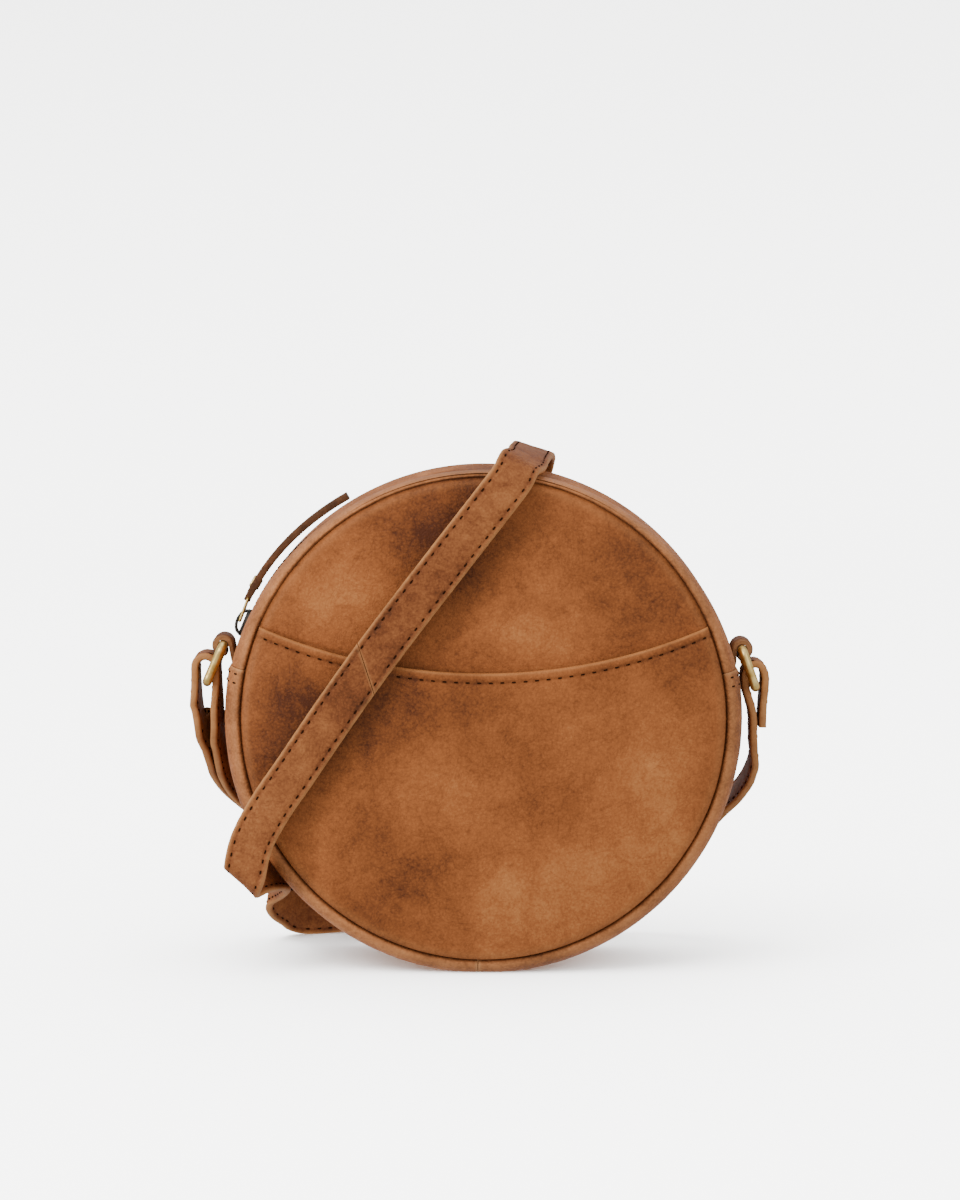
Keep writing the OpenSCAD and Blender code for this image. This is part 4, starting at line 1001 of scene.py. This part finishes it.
slider = Parts()
slider.add(*plate(*UPPER_PLATE))
slider.add(*plate(*LOWER_PLATE))
slider.add(*block(on_zip(SLIDER_ANGLE, POST_R) + fwd * POST_AHEAD, out, ACROSS, fwd, POST_SIZE, 0.1))
for sign in (-1, 1):
    zip_block(slider, SLIDER_ANGLE, RAIL_R, sign * RAIL_Y, RAIL_SIZE, 0.15)
bail = []
for k in range(25):
    w = math.radians(-8 + 196 * k / 24)
    bail.append(on_zip(SLIDER_ANGLE, BAIL_R + BAIL_RISE * math.sin(w)) + fwd * (BAIL_REACH * math.cos(w)))
# The bail is three wires side by side
for y in (-BAIL_STEP, 0, BAIL_STEP):
    slider.add(*tube([q + ACROSS * y for q in bail], BAIL_WIRE, 10))
slider_obj = slider.build("zip slider metal", [gunmetal])
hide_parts("zip_slider")
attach(slider_obj, "slider")

link = Parts()
link.add(*tube(wire_loop(on_zip(SLIDER_ANGLE, PULL_PIVOT_R), on_zip(PULL_BAR_ANGLE, PULL_MID_R),
                         LINK_W, LINK_BEND, 6), LINK_WIRE / 2, 12, True))
link_obj = link.build("pull link wire", [brass])
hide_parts("pull_link")
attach(link_obj, "pull")

# The pull's line: from the link it follows the zip with a slight wave and a lifted tip
shares = np.linspace(0, 1, 46)
line = []
for s in shares:
    rise = 0.6 * math.sin(math.pi * s) * (1 - s) - 0.6 * s ** 2 + 0.1
    line.append(on_zip(PULL_BAR_ANGLE + 0.6 - (PULL_SPAN + 0.4) * s, PULL_MID_R + rise))
line = np.array(line)
tangents = directions(line)
normals = np.cross(tangents, ACROSS)
if normals[0] @ (line[0] - (0, 0, ZIP_CENTRE_H)) < 0:
    normals = -normals
# Its section, as shares of half the width and of the thickness
PULL_SECTION = [(-1.0, -0.25), (-0.94, -0.5), (0, -0.52), (0.94, -0.5), (1.0, -0.25),
                (1.0, 0.25), (0.94, 0.5), (0, 0.52), (-0.94, 0.5), (-1.0, 0.25)]
pull = Parts()
rings, wear = [], []
for s, centre, n in zip(shares, line, normals):
    half = PULL_W / 2 * (0.56 + 0.44 * min(1, max(0, (s - 0.05) / 0.1)) ** 0.7)
    thick = PULL_T * (1.0 if s > 0.05 else 0.9)
    rings.append([centre + ACROSS * (a * half) + n * (b * thick) for a, b in PULL_SECTION])
    wear += [0.25 if abs(a) > 0.9 else 0.0 for a, _ in PULL_SECTION]
pull.add(*loft(rings))
for sign in (-1, 1):
    for s in np.arange(SEWN_FROM, SEWN_TO, STITCH / PULL_L):
        i = int(s * (len(line) - 1))
        centre = line[i] + (line[i + 1] - line[i]) * (s * (len(line) - 1) - i)
        at = centre + ACROSS * (sign * (PULL_W / 2 - PULL_ROW)) + normals[i] * (PULL_T / 2 - 0.3)
        stitch(pull, at, tangents[i], normals[i], 1)
wear += [0.0] * (pull.count - len(wear))
pull_obj = pull.build("leather pull", [trim_leather, stitch_thread],
                      attrs={"wear": wear, "tone": [PULL_TONE] * pull.count})
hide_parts("zip_pull")
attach(pull_obj, "pull")

rivet = Parts()
i = int(RIVET_AT * (len(line) - 1))
for out_n, head_r in ((normals[i], RIVET_R), (-normals[i], RIVET_BACK_R)):
    rivet.add(*rivet_head(line[i] + out_n * (PULL_T / 2 - 0.05), ACROSS, np.cross(out_n, ACROSS), out_n,
                          head_r, RIVET_T))
rivet_obj = rivet.build("pull rivet brass", [brass])
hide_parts("pull_rivet")
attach(rivet_obj, "pull")

# Rings and tabs


def ring(name, pivot, lean, body, node):
    """A rounded rectangle of wire that hangs from its upper bar."""
    down = np.array([math.sin(math.radians(lean)), 0, -math.cos(math.radians(lean))])
    upper_bar = np.array([pivot[0], 0.0, pivot[1]])
    wire = Parts()
    path = wire_loop(upper_bar, upper_bar + down * RING_H, RING_W, RING_CORNER, 8)
    wire.add(*tube(path, RING_WIRE / 2, 20, True))
    obj = wire.build(name, [brass])
    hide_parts(node)
    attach(obj, body)
    return obj


left_ring = ring("left ring wire", LEFT_PIVOT, -LEFT_LEAN, "left_ring", "ring_left")
right_ring = ring("right ring wire", RIGHT_PIVOT, RIGHT_LEAN, "right_ring", "ring_right")


def tab(name, pivot, cap, turn, node):
    """A strip of leather that comes from under the gusset's end, goes over the ring's bar and back down; turn
    is +1 or -1 for the way round the bar."""
    bar, centre = np.array(pivot, float), np.array([0.0, CENTRE_H])
    a = math.radians(cap)
    radial = np.array([math.cos(a), math.sin(a)])
    tangent = np.array([-math.sin(a), math.cos(a)]) * -turn
    points = [centre + radial * (GUSSET_R - 2.4) - tangent * 2.5,
              centre + radial * (GUSSET_R - 0.6) + tangent * 0.7]
    outward = bar - centre
    first = math.atan2(outward[1], outward[0]) - turn * math.pi * 0.9
    wrap_r = RING_WIRE / 2 + TAB_SLACK + TAB_T / 2
    for k in range(19):
        w = first + turn * TAB_WRAP * k / 18
        points.append(bar + wrap_r * np.array([math.cos(w), math.sin(w)]))
    line = smoothed(points, 60, 3)
    normals = directions(line)[:, ::-1] * (-1, 1)
    if normals[30] @ (line[30] - bar) < 0:
        normals = -normals
    outer = line + normals * TAB_T / 2
    p = np.array([[(x, y, z) for y in np.linspace(-TAB_HALF_W, TAB_HALF_W, 12)] for x, z in outer])
    wear = np.zeros(p.shape[:2])
    wear[:, 0] = wear[:, -1] = 1.0
    wear[-2:, :] = 1.0
    side = side_towards(p, (30, 5), (normals[30][0], 0, normals[30][1]))
    verts, faces, attrs = shell(p, TAB_T, side, attrs={"wear": wear})
    obj = new_object(name, verts, faces, [trim_leather], attrs=attrs)
    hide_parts(node)


tab("left tab leather", LEFT_PIVOT, LEFT_CAP, 1, "tab_left")
tab("right tab leather", RIGHT_PIVOT, RIGHT_CAP, -1, "tab_right")

# The strap

# The route in shares: x of the gusset's radius, y of half the depth and of the step outwards, z from the
# disc's centre in radii, and the direction across the strap. The arch's x and z start from its middle.
BEHIND = [
    (-1.04, 0, 0, -0.045, 0.12, 1, 0), (-1.042, 0.19, 0, -0.105, 0.1, 0.93, 0.3),
    (-1.035, 0.43, 0, -0.175, 0.15, 0.8, 0.56), (-1.012, 0.72, 0, -0.245, 0.35, 0.62, 0.7),
    (-0.965, 1, 0, -0.322, 0.55, 0.42, 0.7), (-0.878, 1, 0.38, -0.415, 0.7, 0.15, 0.68),
    (-0.76, 1, 0.42, -0.52, 0.79, 0, 0.62), (-0.683, 1, 0.42, -0.617, 0.79, 0, 0.62),
    (-0.61, 1, 0.49, -0.705, 0.8, -0.05, 0.6), (-0.545, 1, 0.82, -0.768, 0.88, -0.1, 0.45),
    (-0.49, 1, 1.4, -0.788, 0.95, -0.1, 0.25), (-0.445, 1, 1.93, -0.735, 0.98, 0, 0),
    (-0.4, 1, 2.03, -0.605, 0.95, 0, -0.25), (-0.31, 1, 1.68, -0.365, 0.93, 0, -0.36),
    (-0.17, 1, 1.1, 0.015, 0.93, 0, -0.36), (-0.02, 1, 0.79, 0.395, 0.93, 0, -0.36),
    (0.085, 1, 0.65, 0.625, 0.93, 0, -0.36), (0.14, 1, 0.61, 0.755, 0.93, 0, -0.36),
    (0.185, 1, 0.57, 0.895, 0.93, 0, -0.36), (0.206, 1, 0.22, 0.985, 0.94, 0, -0.34)]
ARCH = [(0.002, 0.74, 0.001, 0.955, 0, -0.3), (-0.006, 0.31, 0.001, 0.945, 0, -0.33),
        (-0.013, 0, 0, 0.935, 0, -0.35), (-0.02, -0.31, -0.003, 0.92, 0, -0.39),
        (-0.03, -0.68, -0.014, 0.89, 0, -0.45)]
FRONT = [(0.136, -1, -0.06, 0.985, 0.86, 0, -0.5), (0.111, -1, -0.5, 0.94, 0.83, 0, -0.555),
         (0.06, -1, -0.68, 0.872, 0.81, 0, -0.586), (-0.12, -1, -0.78, 0.641, 0.8, 0, -0.6),
         (-0.3, -1, -0.87, 0.408, 0.81, 0, -0.586)]
SPLICE = (-0.445, -1, -0.92, 0.214, 0.82, 0, -0.57)
TURN = [(-0.58, -1, -0.91, 0.022, 0.825, 0, -0.565), (-0.72, -1, -0.8, -0.186, 0.828, 0, -0.56),
        (-0.815, -1, -0.78, -0.325, 0.83, 0, -0.556), (-0.885, -1, -0.75, -0.457, 0.81, 0, -0.586),
        (-0.914, -1, -0.62, -0.58, 0.76, 0, -0.65), (-0.92, -1, -0.2, -0.616, 0.73, 0, -0.68),
        (-0.883, -0.87, 0, -0.61, 0.72, 0, -0.69), (-0.842, -0.55, 0, -0.617, 0.68, 0, -0.73),
        (-0.815, -0.15, 0, -0.64, 0.6, 0, -0.8), (-0.812, 0.28, 0, -0.668, 0.45, 0.04, -0.89),
        (-0.826, 0.68, 0, -0.703, 0.25, 0.08, -0.96), (-0.852, 1, 0.12, -0.745, 0.05, 0.1, -0.99),
        (-0.838, 1, 0.68, -0.81, 0, 0.1, -0.99), (-0.79, 1, 1.22, -0.86, 0, 0.05, -1)]
FLOOR = [(-0.73, 1, 1.55), (-0.56, 1, 1.82), (-0.3, 1, 1.89), (0, 1, 1.96), (0.28, 1, 1.96)]
RISE = [(0.45, 1, 1.86, -0.865, 0, 0, -1), (0.595, 1, 1.6, -0.79, 0.05, -0.12, -0.99),
        (0.72, 1, 1.18, -0.67, 0.12, -0.42, -0.9), (0.84, 1, 0.66, -0.55, 0.13, -0.8, -0.58),
        (0.93, 1, 0.12, -0.455, 0.06, -0.97, -0.22), (1, 0.75, 0, -0.365, 0.03, -0.99, -0.1),
        (1.045, 0.4, 0, -0.275, 0.03, -0.99, -0.12), (1.06, 0.15, 0, -0.2, 0.01, -1, -0.03),
        (1.056, 0, 0, -0.135, 0, -1, 0)]
# The turn at the right ring, as x and z from the ring's lower bar in shares of BAR_REACH
RIGHT_LOOP = [
    (-0.12, -4.62), (-0.13, -3.9), (-0.17, -3.1), (-0.3, -2.3), (-0.62, -1.3), (-1.0, 0), (-1.08, 0.9),
    (-1.02, 1.6), (-0.72, 2.2), (-0.2, 2.52), (0.35, 2.45), (0.86, 2.0), (1.08, 1.3), (1.1, 0.4),
    (1.02, -0.7), (0.9, -1.8), (0.82, -2.9), (0.8, -4.3)]
# How far the doubled part of the strap stands apart below the left ring, key by key
SPREAD = [1, 0.62, 0.2, 0.03, 0, 0, 0, 0]
# Stations between two keys, and the key at which the adjuster holds the strap
STEPS = 10
ADJUSTER_KEY = 7


def placed(s):
    """Point and direction across of a key of the route."""
    return (np.array([s[0] * GUSSET_R, s[1] * HALF_DEPTH + s[2] * FRONT_STACK, CENTRE_H + s[3] * GUSSET_R]),
            np.array(s[4:7], float))


def arched(s):
    """The same for a key of the arch over the zip."""
    a = math.radians(ARCH_ANGLE)
    return (np.array([ARCH_R * math.cos(a) + s[0] * GUSSET_R, s[1] * HALF_DEPTH,
                      ZIP_CENTRE_H + ARCH_R * math.sin(a) + s[2] * GUSSET_R]), np.array(s[3:6], float))


def on_floor(s):
    """The same for a key where the strap stands on its edge on the floor."""
    return (np.array([s[0] * GUSSET_R, s[1] * HALF_DEPTH + s[2] * FRONT_STACK, FLOOR_LIE]),
            np.array([0.0, 0.0, -1.0]))


def station(p, d, across):
    """A place on the strap: its centre, and its unit directions along, across and out of its face."""
    t = unit(d)
    w = unit(across - t * (across @ t))
    return (p, t, w, np.cross(t, w))


def stations(keys):
    """Catmull-Rom stations through keys of a point and a direction across."""
    out = []
    for i in range(1, len(keys) - 2):
        (a, wa), (b, wb), (c, wc), (d, wd) = keys[i - 1:i + 3]
        for j in range(STEPS + (1 if i == len(keys) - 3 else 0)):
            t = j / STEPS
            f = [2 * b + (c - a) * t + (2 * a - 5 * b + 4 * c - d) * t * t + (3 * b - a - 3 * c + d) * t ** 3
                 for a, b, c, d in ((a, b, c, d), (wa, wb, wc, wd))]
            g = (c - a) + 2 * (2 * a - 5 * b + 4 * c - d) * t + 3 * (3 * b - a - 3 * c + d) * t * t
            out.append(station(f[0] / 2, g / 2, f[1] / 2))
    return out


def between(st, dist, d):
    """Centre and directions at a distance along stations."""
    i = max(0, min(int(np.searchsorted(dist, d) - 1), len(st) - 2))
    f = (d - dist[i]) / max(1e-6, dist[i + 1] - dist[i])
    p, t, w, n = [st[i][q] * (1 - f) + st[i + 1][q] * f for q in range(4)]
    return p, unit(t), unit(w), unit(n)


def cut(st, start, end):
    """The stations between two distances along them, ends included; None is the far end."""
    dist = run_lengths([s[0] for s in st])
    end = dist[-1] if end is None else end
    inside = [s for s, d in zip(st, dist) if start + 0.05 < d < end - 0.05]
    return [between(st, dist, start)] + inside + [between(st, dist, end)]


def even(st):
    """The same stations at even steps, close enough for the pull of each stitch to show."""
    dist = run_lengths([s[0] for s in st])
    at = np.linspace(0, dist[-1], max(2, int(round(dist[-1] / STATION_STEP))) + 1)
    centres, along, across = [
        np.stack([np.interp(at, dist, [s[q][c] for s in st]) for c in range(3)], axis=1) for q in range(3)]
    return [station(p, t, w) for p, t, w in zip(centres, along, across)]


def section():
    """Outline of the strap's section: two stitched plies with soft edges, as across, facing and wear."""
    from_edge = (0, 0.12, 0.5, 1.1, 1.8, STRAP_ROW, 2.6, 3.4, 5.5, HALF_W - 2.0)
    up = []
    for across in [e - HALF_W for e in from_edge] + [HALF_W - e for e in reversed(from_edge)]:
        e = HALF_W - abs(across)
        face = STRAP_T / 2 * (1 - 0.55 * max(0, 1 - e / 0.9) ** 2.2)
        face -= 0.22 * hump(e - STRAP_ROW, 0.45) + 0.05 * hump(e - 1.0, 0.5)
        up.append((across, face, hump(e, 0.75)))
    down = [(across, -face, wear) for across, face, wear in reversed(up)]
    return [(-HALF_W, 0.0, 1.0)] + up + [(HALF_W, 0.0, 1.0)] + down


SECTION = section()


def ribbon(name, st, skew_start=0.0, skew_end=0.0, seed=0):
    """The strap's section swept along stations, with its rows of stitches, as one object; an end is cut
    askew by its skew in millimetres, which fades away over the length of a blend."""
    st = even(st)
    dist = run_lengths([s[0] for s in st])
    total = dist[-1]
    rings, wear, tone = [], [], []
    for d, (p, t, w, n) in zip(dist, st):
        skew = skew_start * max(0.0, 1 - d / BLEND) + skew_end * max(0.0, 1 - (total - d) / BLEND)
        cut_wear = 0.5 if min(d, total - d) < 0.01 and (skew_start or skew_end) else 0
        pull_in = 0.5 + 0.5 * math.cos(2 * math.pi * (d - FIRST_STITCH) / STITCH)
        ring_points = []
        for across, face, worn in SECTION:
            e = HALF_W - abs(across)
            pucker = math.copysign(0.11 * pull_in * hump(e - 2.0, 0.9), face)
            narrow = math.copysign(0.05 * pull_in * (e < 0.6), across)
            ripple = 0.06 * math.sin(d / 3.1 + across * 0.4 + seed)
            askew = t * (skew * across / HALF_W)
            ring_points.append(p + w * (across - narrow) + n * (face + ripple - pucker) + askew)
            wear.append(min(1.0, worn + cut_wear))
            # Painted shade: darker along the sunk rows of stitches; the slow waves along the strap are the
            # leather's own tone
            tone.append(-0.14 * hump(e - STRAP_ROW, 0.5) + 0.1 * math.sin(d / 17 + seed))
        rings.append(ring_points)
    parts = Parts()
    parts.add(*loft(rings))
    for side in (-1, 1):
        for facing in (1, -1):
            for d in np.arange(FIRST_STITCH, total - 1.5, STITCH):
                p, t, w, n = between(st, dist, d)
                at = p + w * (side * (HALF_W - STRAP_ROW)) + n * (facing * (STRAP_T / 2 - 0.2))
                stitch(parts, at, t, n * facing, 1)
    thread = [0.0] * (parts.count - len(wear))
    return parts.build(name, [strap_leather, stitch_thread], 60.0,
                       {"wear": wear + thread, "tone": tone + thread})


# Keys of the long and of the short part
left_start = np.array([LEFT_TURN[0] + LEG_REACH, 0, LEFT_TURN[1] - LOOP_LEG - PIECE_GAP])
up_step = np.array([0, 0, LOOP_LEG / 2])
right_line = [np.array([RIGHT_BAR[0] + BAR_REACH * x, 0, RIGHT_BAR[1] + BAR_REACH * z])
              for x, z in RIGHT_LOOP]
right_end = right_line[0] - np.array([0, 0, PIECE_GAP])
leg_across = np.array([LEG_TWIST, 1.0, 0.0])
long_keys = ([(left_start + up_step, leg_across), (left_start, leg_across)] + [placed(s) for s in BEHIND]
             + [arched(s) for s in ARCH] + [placed(s) for s in FRONT] + [placed(SPLICE), placed(TURN[0])])
short_keys = ([placed(FRONT[-1]), placed(SPLICE)] + [placed(s) for s in TURN] + [on_floor(s) for s in FLOOR]
              + [placed(s) for s in RISE] + [(right_end, -ACROSS), (right_end + up_step, -ACROSS)])
long_st, short_st = stations(long_keys), stations(short_keys)

# The outer ply runs beside the long part from the left ring to the adjuster, round its middle bar and back
doubled = long_st[:(ADJUSTER_KEY + 1) * STEPS + 1]
held_p, held_t, held_w, held_n = doubled[-1]


def ply_step(i):
    """How far the outer ply stands off the inner one at a station."""
    k = min(i // STEPS, len(SPREAD) - 2)
    f = i / STEPS - k
    return DOUBLE_STEP + (2 * LEG_REACH - DOUBLE_STEP) * (SPREAD[k] * (1 - f) + SPREAD[k + 1] * f)


outer_ply = [(p - n * ply_step(i), t, w, n) for i, (p, t, w, n) in enumerate(doubled)]
wrap_r = ADJUSTER_BAR / 2 + 0.15 + STRAP_T / 2
bar_at = held_p - held_n * (DOUBLE_STEP + wrap_r)
wrap = []
for k in range(1, 13):
    w = math.radians(15 * k)
    face = held_n * math.cos(w) + held_t * math.sin(w)
    wrap.append((bar_at + face * wrap_r, held_t * math.cos(w) - held_n * math.sin(w), held_w, face))
back_p, *back_axes = wrap[-1]
sewn = [(back_p - held_t * (SEWN_END * k / 8), *back_axes) for k in range(1, 9)]


def leg(x, rise, going):
    """A station of a leg below the left ring, at a height above its cut end, where its twist is full."""
    twist = np.array([LEG_TWIST, 0.0, 0.0]) * (1 - rise / LOOP_LEG) ** 2
    return station(np.array([LEFT_TURN[0] + x, 0.0, LEFT_TURN[1] - LOOP_LEG + rise]),
                   np.array([0.0, 0.0, going]), ACROSS + twist)


# The left turn: up the outer leg, over the ring's bar and down the inner leg
turn_st = [leg(-LEG_REACH, LOOP_LEG * k / 7, 1.0) for k in range(1, 8)]
for k in range(1, 16):
    w = math.pi - math.pi * k / 15
    c, s = math.cos(w), math.sin(w)
    turn_st.append((np.array([LEFT_TURN[0] + LEG_REACH * c, 0, LEFT_TURN[1] + LEG_REACH * s]),
                    np.array([s, 0, -c]), ACROSS, np.array([c, 0, s])))
turn_st += [leg(LEG_REACH, LOOP_LEG * (1 - k / 7), -1.0) for k in range(1, 8)]

outer_up = [(p, -t, w, -n) for p, t, w, n in reversed(outer_ply)]
outer_len = run_lengths([s[0] for s in outer_up])[-1]
left_end = ribbon("strap turn at left ring",
                  cut(outer_up, outer_len - BLEND, None) + turn_st + cut(long_st, 0.0, BLEND), seed=1)
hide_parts("strap_end_left")
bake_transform(left_end)

adjuster_strap = ribbon("strap end at adjuster", cut(outer_ply + wrap + sewn, BLEND, None), seed=2)
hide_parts("strap_adjuster_end")

long_strap = ribbon("long strap", cut(long_st, BLEND, None), skew_end=SPLICE_SKEW, seed=3)
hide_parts("strap_long")

short_len = run_lengths([s[0] for s in short_st])[-1]
short_strap = ribbon("short strap", cut(short_st, 0.35, short_len - BLEND), skew_start=SPLICE_SKEW, seed=4)
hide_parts("strap_short")

loop_line = smoothed(right_line, 70, 6)
loop_st = [station(p, t, -ACROSS) for p, t in zip(loop_line, directions(loop_line))]
right_piece = ribbon("strap turn at right ring",
                     cut(short_st, short_len - BLEND, None)[:-1] + loop_st, seed=5)
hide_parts("strap_end_right")
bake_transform(right_piece)

# Adjuster

# A slide of wire: two end bars, two bowed side rails, and the middle bar that the strap turns round
buckle = Parts()
centre = held_p + held_n * (STRAP_T / 2 + ADJUSTER_GAP + ADJUSTER_BAR / 2)
rail = HALF_W + ADJUSTER_GAP + ADJUSTER_BAR / 2
reach = held_t * ((ADJUSTER_L - ADJUSTER_BAR) / 2)
drop = bar_at - centre
for end in (centre - reach, centre + reach, centre + drop):
    buckle.add(*tube([end + held_w * y for y in np.linspace(-rail, rail, 9)], ADJUSTER_BAR / 2, 14))
for side in (-1, 1):
    bow = [centre + reach * a + drop * b + held_w * (side * rail)
           for a, b in ((-1, 0), (-0.5, 0.5), (0, 1), (0.5, 0.5), (1, 0))]
    buckle.add(*tube(bow, ADJUSTER_BAR / 2, 14))
buckle_obj = buckle.build("adjuster wire", [brass])
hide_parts("strap_adjuster")

sew.build("body stitches", [stitch_thread])

moving = (slider_obj, link_obj, pull_obj, rivet_obj, left_ring, right_ring, left_end, right_piece)
for piece in made:
    if piece not in moving:
        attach(piece, "bag")

# Floor, light and camera

# Matt white paper, rolled up into a wall all round; leather is lit by the lamps and not by the paper
paper, _, _ = blank("matt paper", Roughness=0.95,
                    **{"Base Color": srgb("#f4f4f3"), "Specular IOR Level": 0.1})
PAPER_FLAT, PAPER_BEND, PAPER_TOP = 1900.0, 1100.0, 1700.0
profile = [(0.0, 0.0), (PAPER_FLAT, 0.0)]
for k in range(1, 17):
    w = math.radians(90 * k / 16)
    profile.append((PAPER_FLAT + PAPER_BEND * math.sin(w), PAPER_BEND - PAPER_BEND * math.cos(w)))
profile.append((PAPER_FLAT + PAPER_BEND, PAPER_TOP))
bm = bmesh.new()
rim = [bm.verts.new((r * MM, 0.0, z * MM)) for r, z in profile]
edges = [bm.edges.new(pair) for pair in zip(rim, rim[1:])]
bmesh.ops.spin(bm, geom=rim + edges, cent=(0, 0, 0), axis=(0, 0, 1), angle=2 * math.pi, steps=96,
               use_merge=True)
bmesh.ops.remove_doubles(bm, verts=bm.verts, dist=0.0001)
for f in bm.faces:
    f.smooth = True
    if f.normal.z < 0:
        f.normal_flip()
mesh = bpy.data.meshes.new("floor")
bm.to_mesh(mesh)
bm.free()
mesh.materials.append(paper)
floor = bpy.data.objects.new("floor", mesh)
bpy.context.scene.collection.objects.link(floor)
floor.visible_diffuse = False
floor.visible_glossy = False
paper_only = bpy.data.collections.new("paper only")
paper_only.objects.link(floor)


def lamp(name, kind, place, target, energy, receivers=None, **fields):
    """A light that looks at target; receivers is the collection that alone it lights."""
    data = bpy.data.lights.new(name, kind)
    data.energy = energy
    for key, value in fields.items():
        setattr(data, key, value)
    obj = bpy.data.objects.new(name, data)
    obj.location = place
    obj.rotation_euler = (Vector(target) - Vector(place)).to_track_quat("-Z", "Y").to_euler()
    bpy.context.scene.collection.objects.link(obj)
    if receivers is not None:
        obj.light_linking.receiver_collection = receivers


lamp("key", "AREA", (-0.9, -1.1, 1.5), (0, 0, 0.1), KEY, size=1.1)
lamp("fill", "AREA", (1.3, -1.3, 0.9), (0, 0, 0.1), FILL, size=1.2)
lamp("top", "AREA", (0.1, 0.2, 1.9), (0, 0, 0.0), TOP, size=1.6)
lamp("low", "AREA", (-1.15, -0.6, 0.08), (-0.07, 0.05, 0.015), LOW, size=0.25)
lamp("paper sky", "SUN", (0, 0, 3.0), (0, 0, 0), PAPER_SKY, paper_only, angle=math.pi)
lamp("paper sun", "SUN", (-0.5, -0.8, 2.5), (0, 0, 0), PAPER_SUN, paper_only, angle=math.radians(50))

world = bpy.data.worlds.new("studio")
world.use_nodes = True
world.node_tree.nodes["Background"].inputs["Color"].default_value = (1.0, 1.0, 1.0, 1.0)
world.node_tree.nodes["Background"].inputs["Strength"].default_value = AMBIENT
bpy.context.scene.world = world

# The photo's camera: 1.5 m in front of the bag and 0.28 m high, looking about 5 degrees down
cam_data = bpy.data.cameras.new("camera")
cam_data.lens = 115.74
cam_data.sensor_fit = "VERTICAL"
cam_data.sensor_height = 36.0
cam_data.clip_end = 50.0
cam = bpy.data.objects.new("camera", cam_data)
cam.location = (-0.00135, -1.5, 0.28)
cam.rotation_euler = (math.radians(84.736), 0, 0)
bpy.context.scene.collection.objects.link(cam)
bpy.context.scene.camera = cam
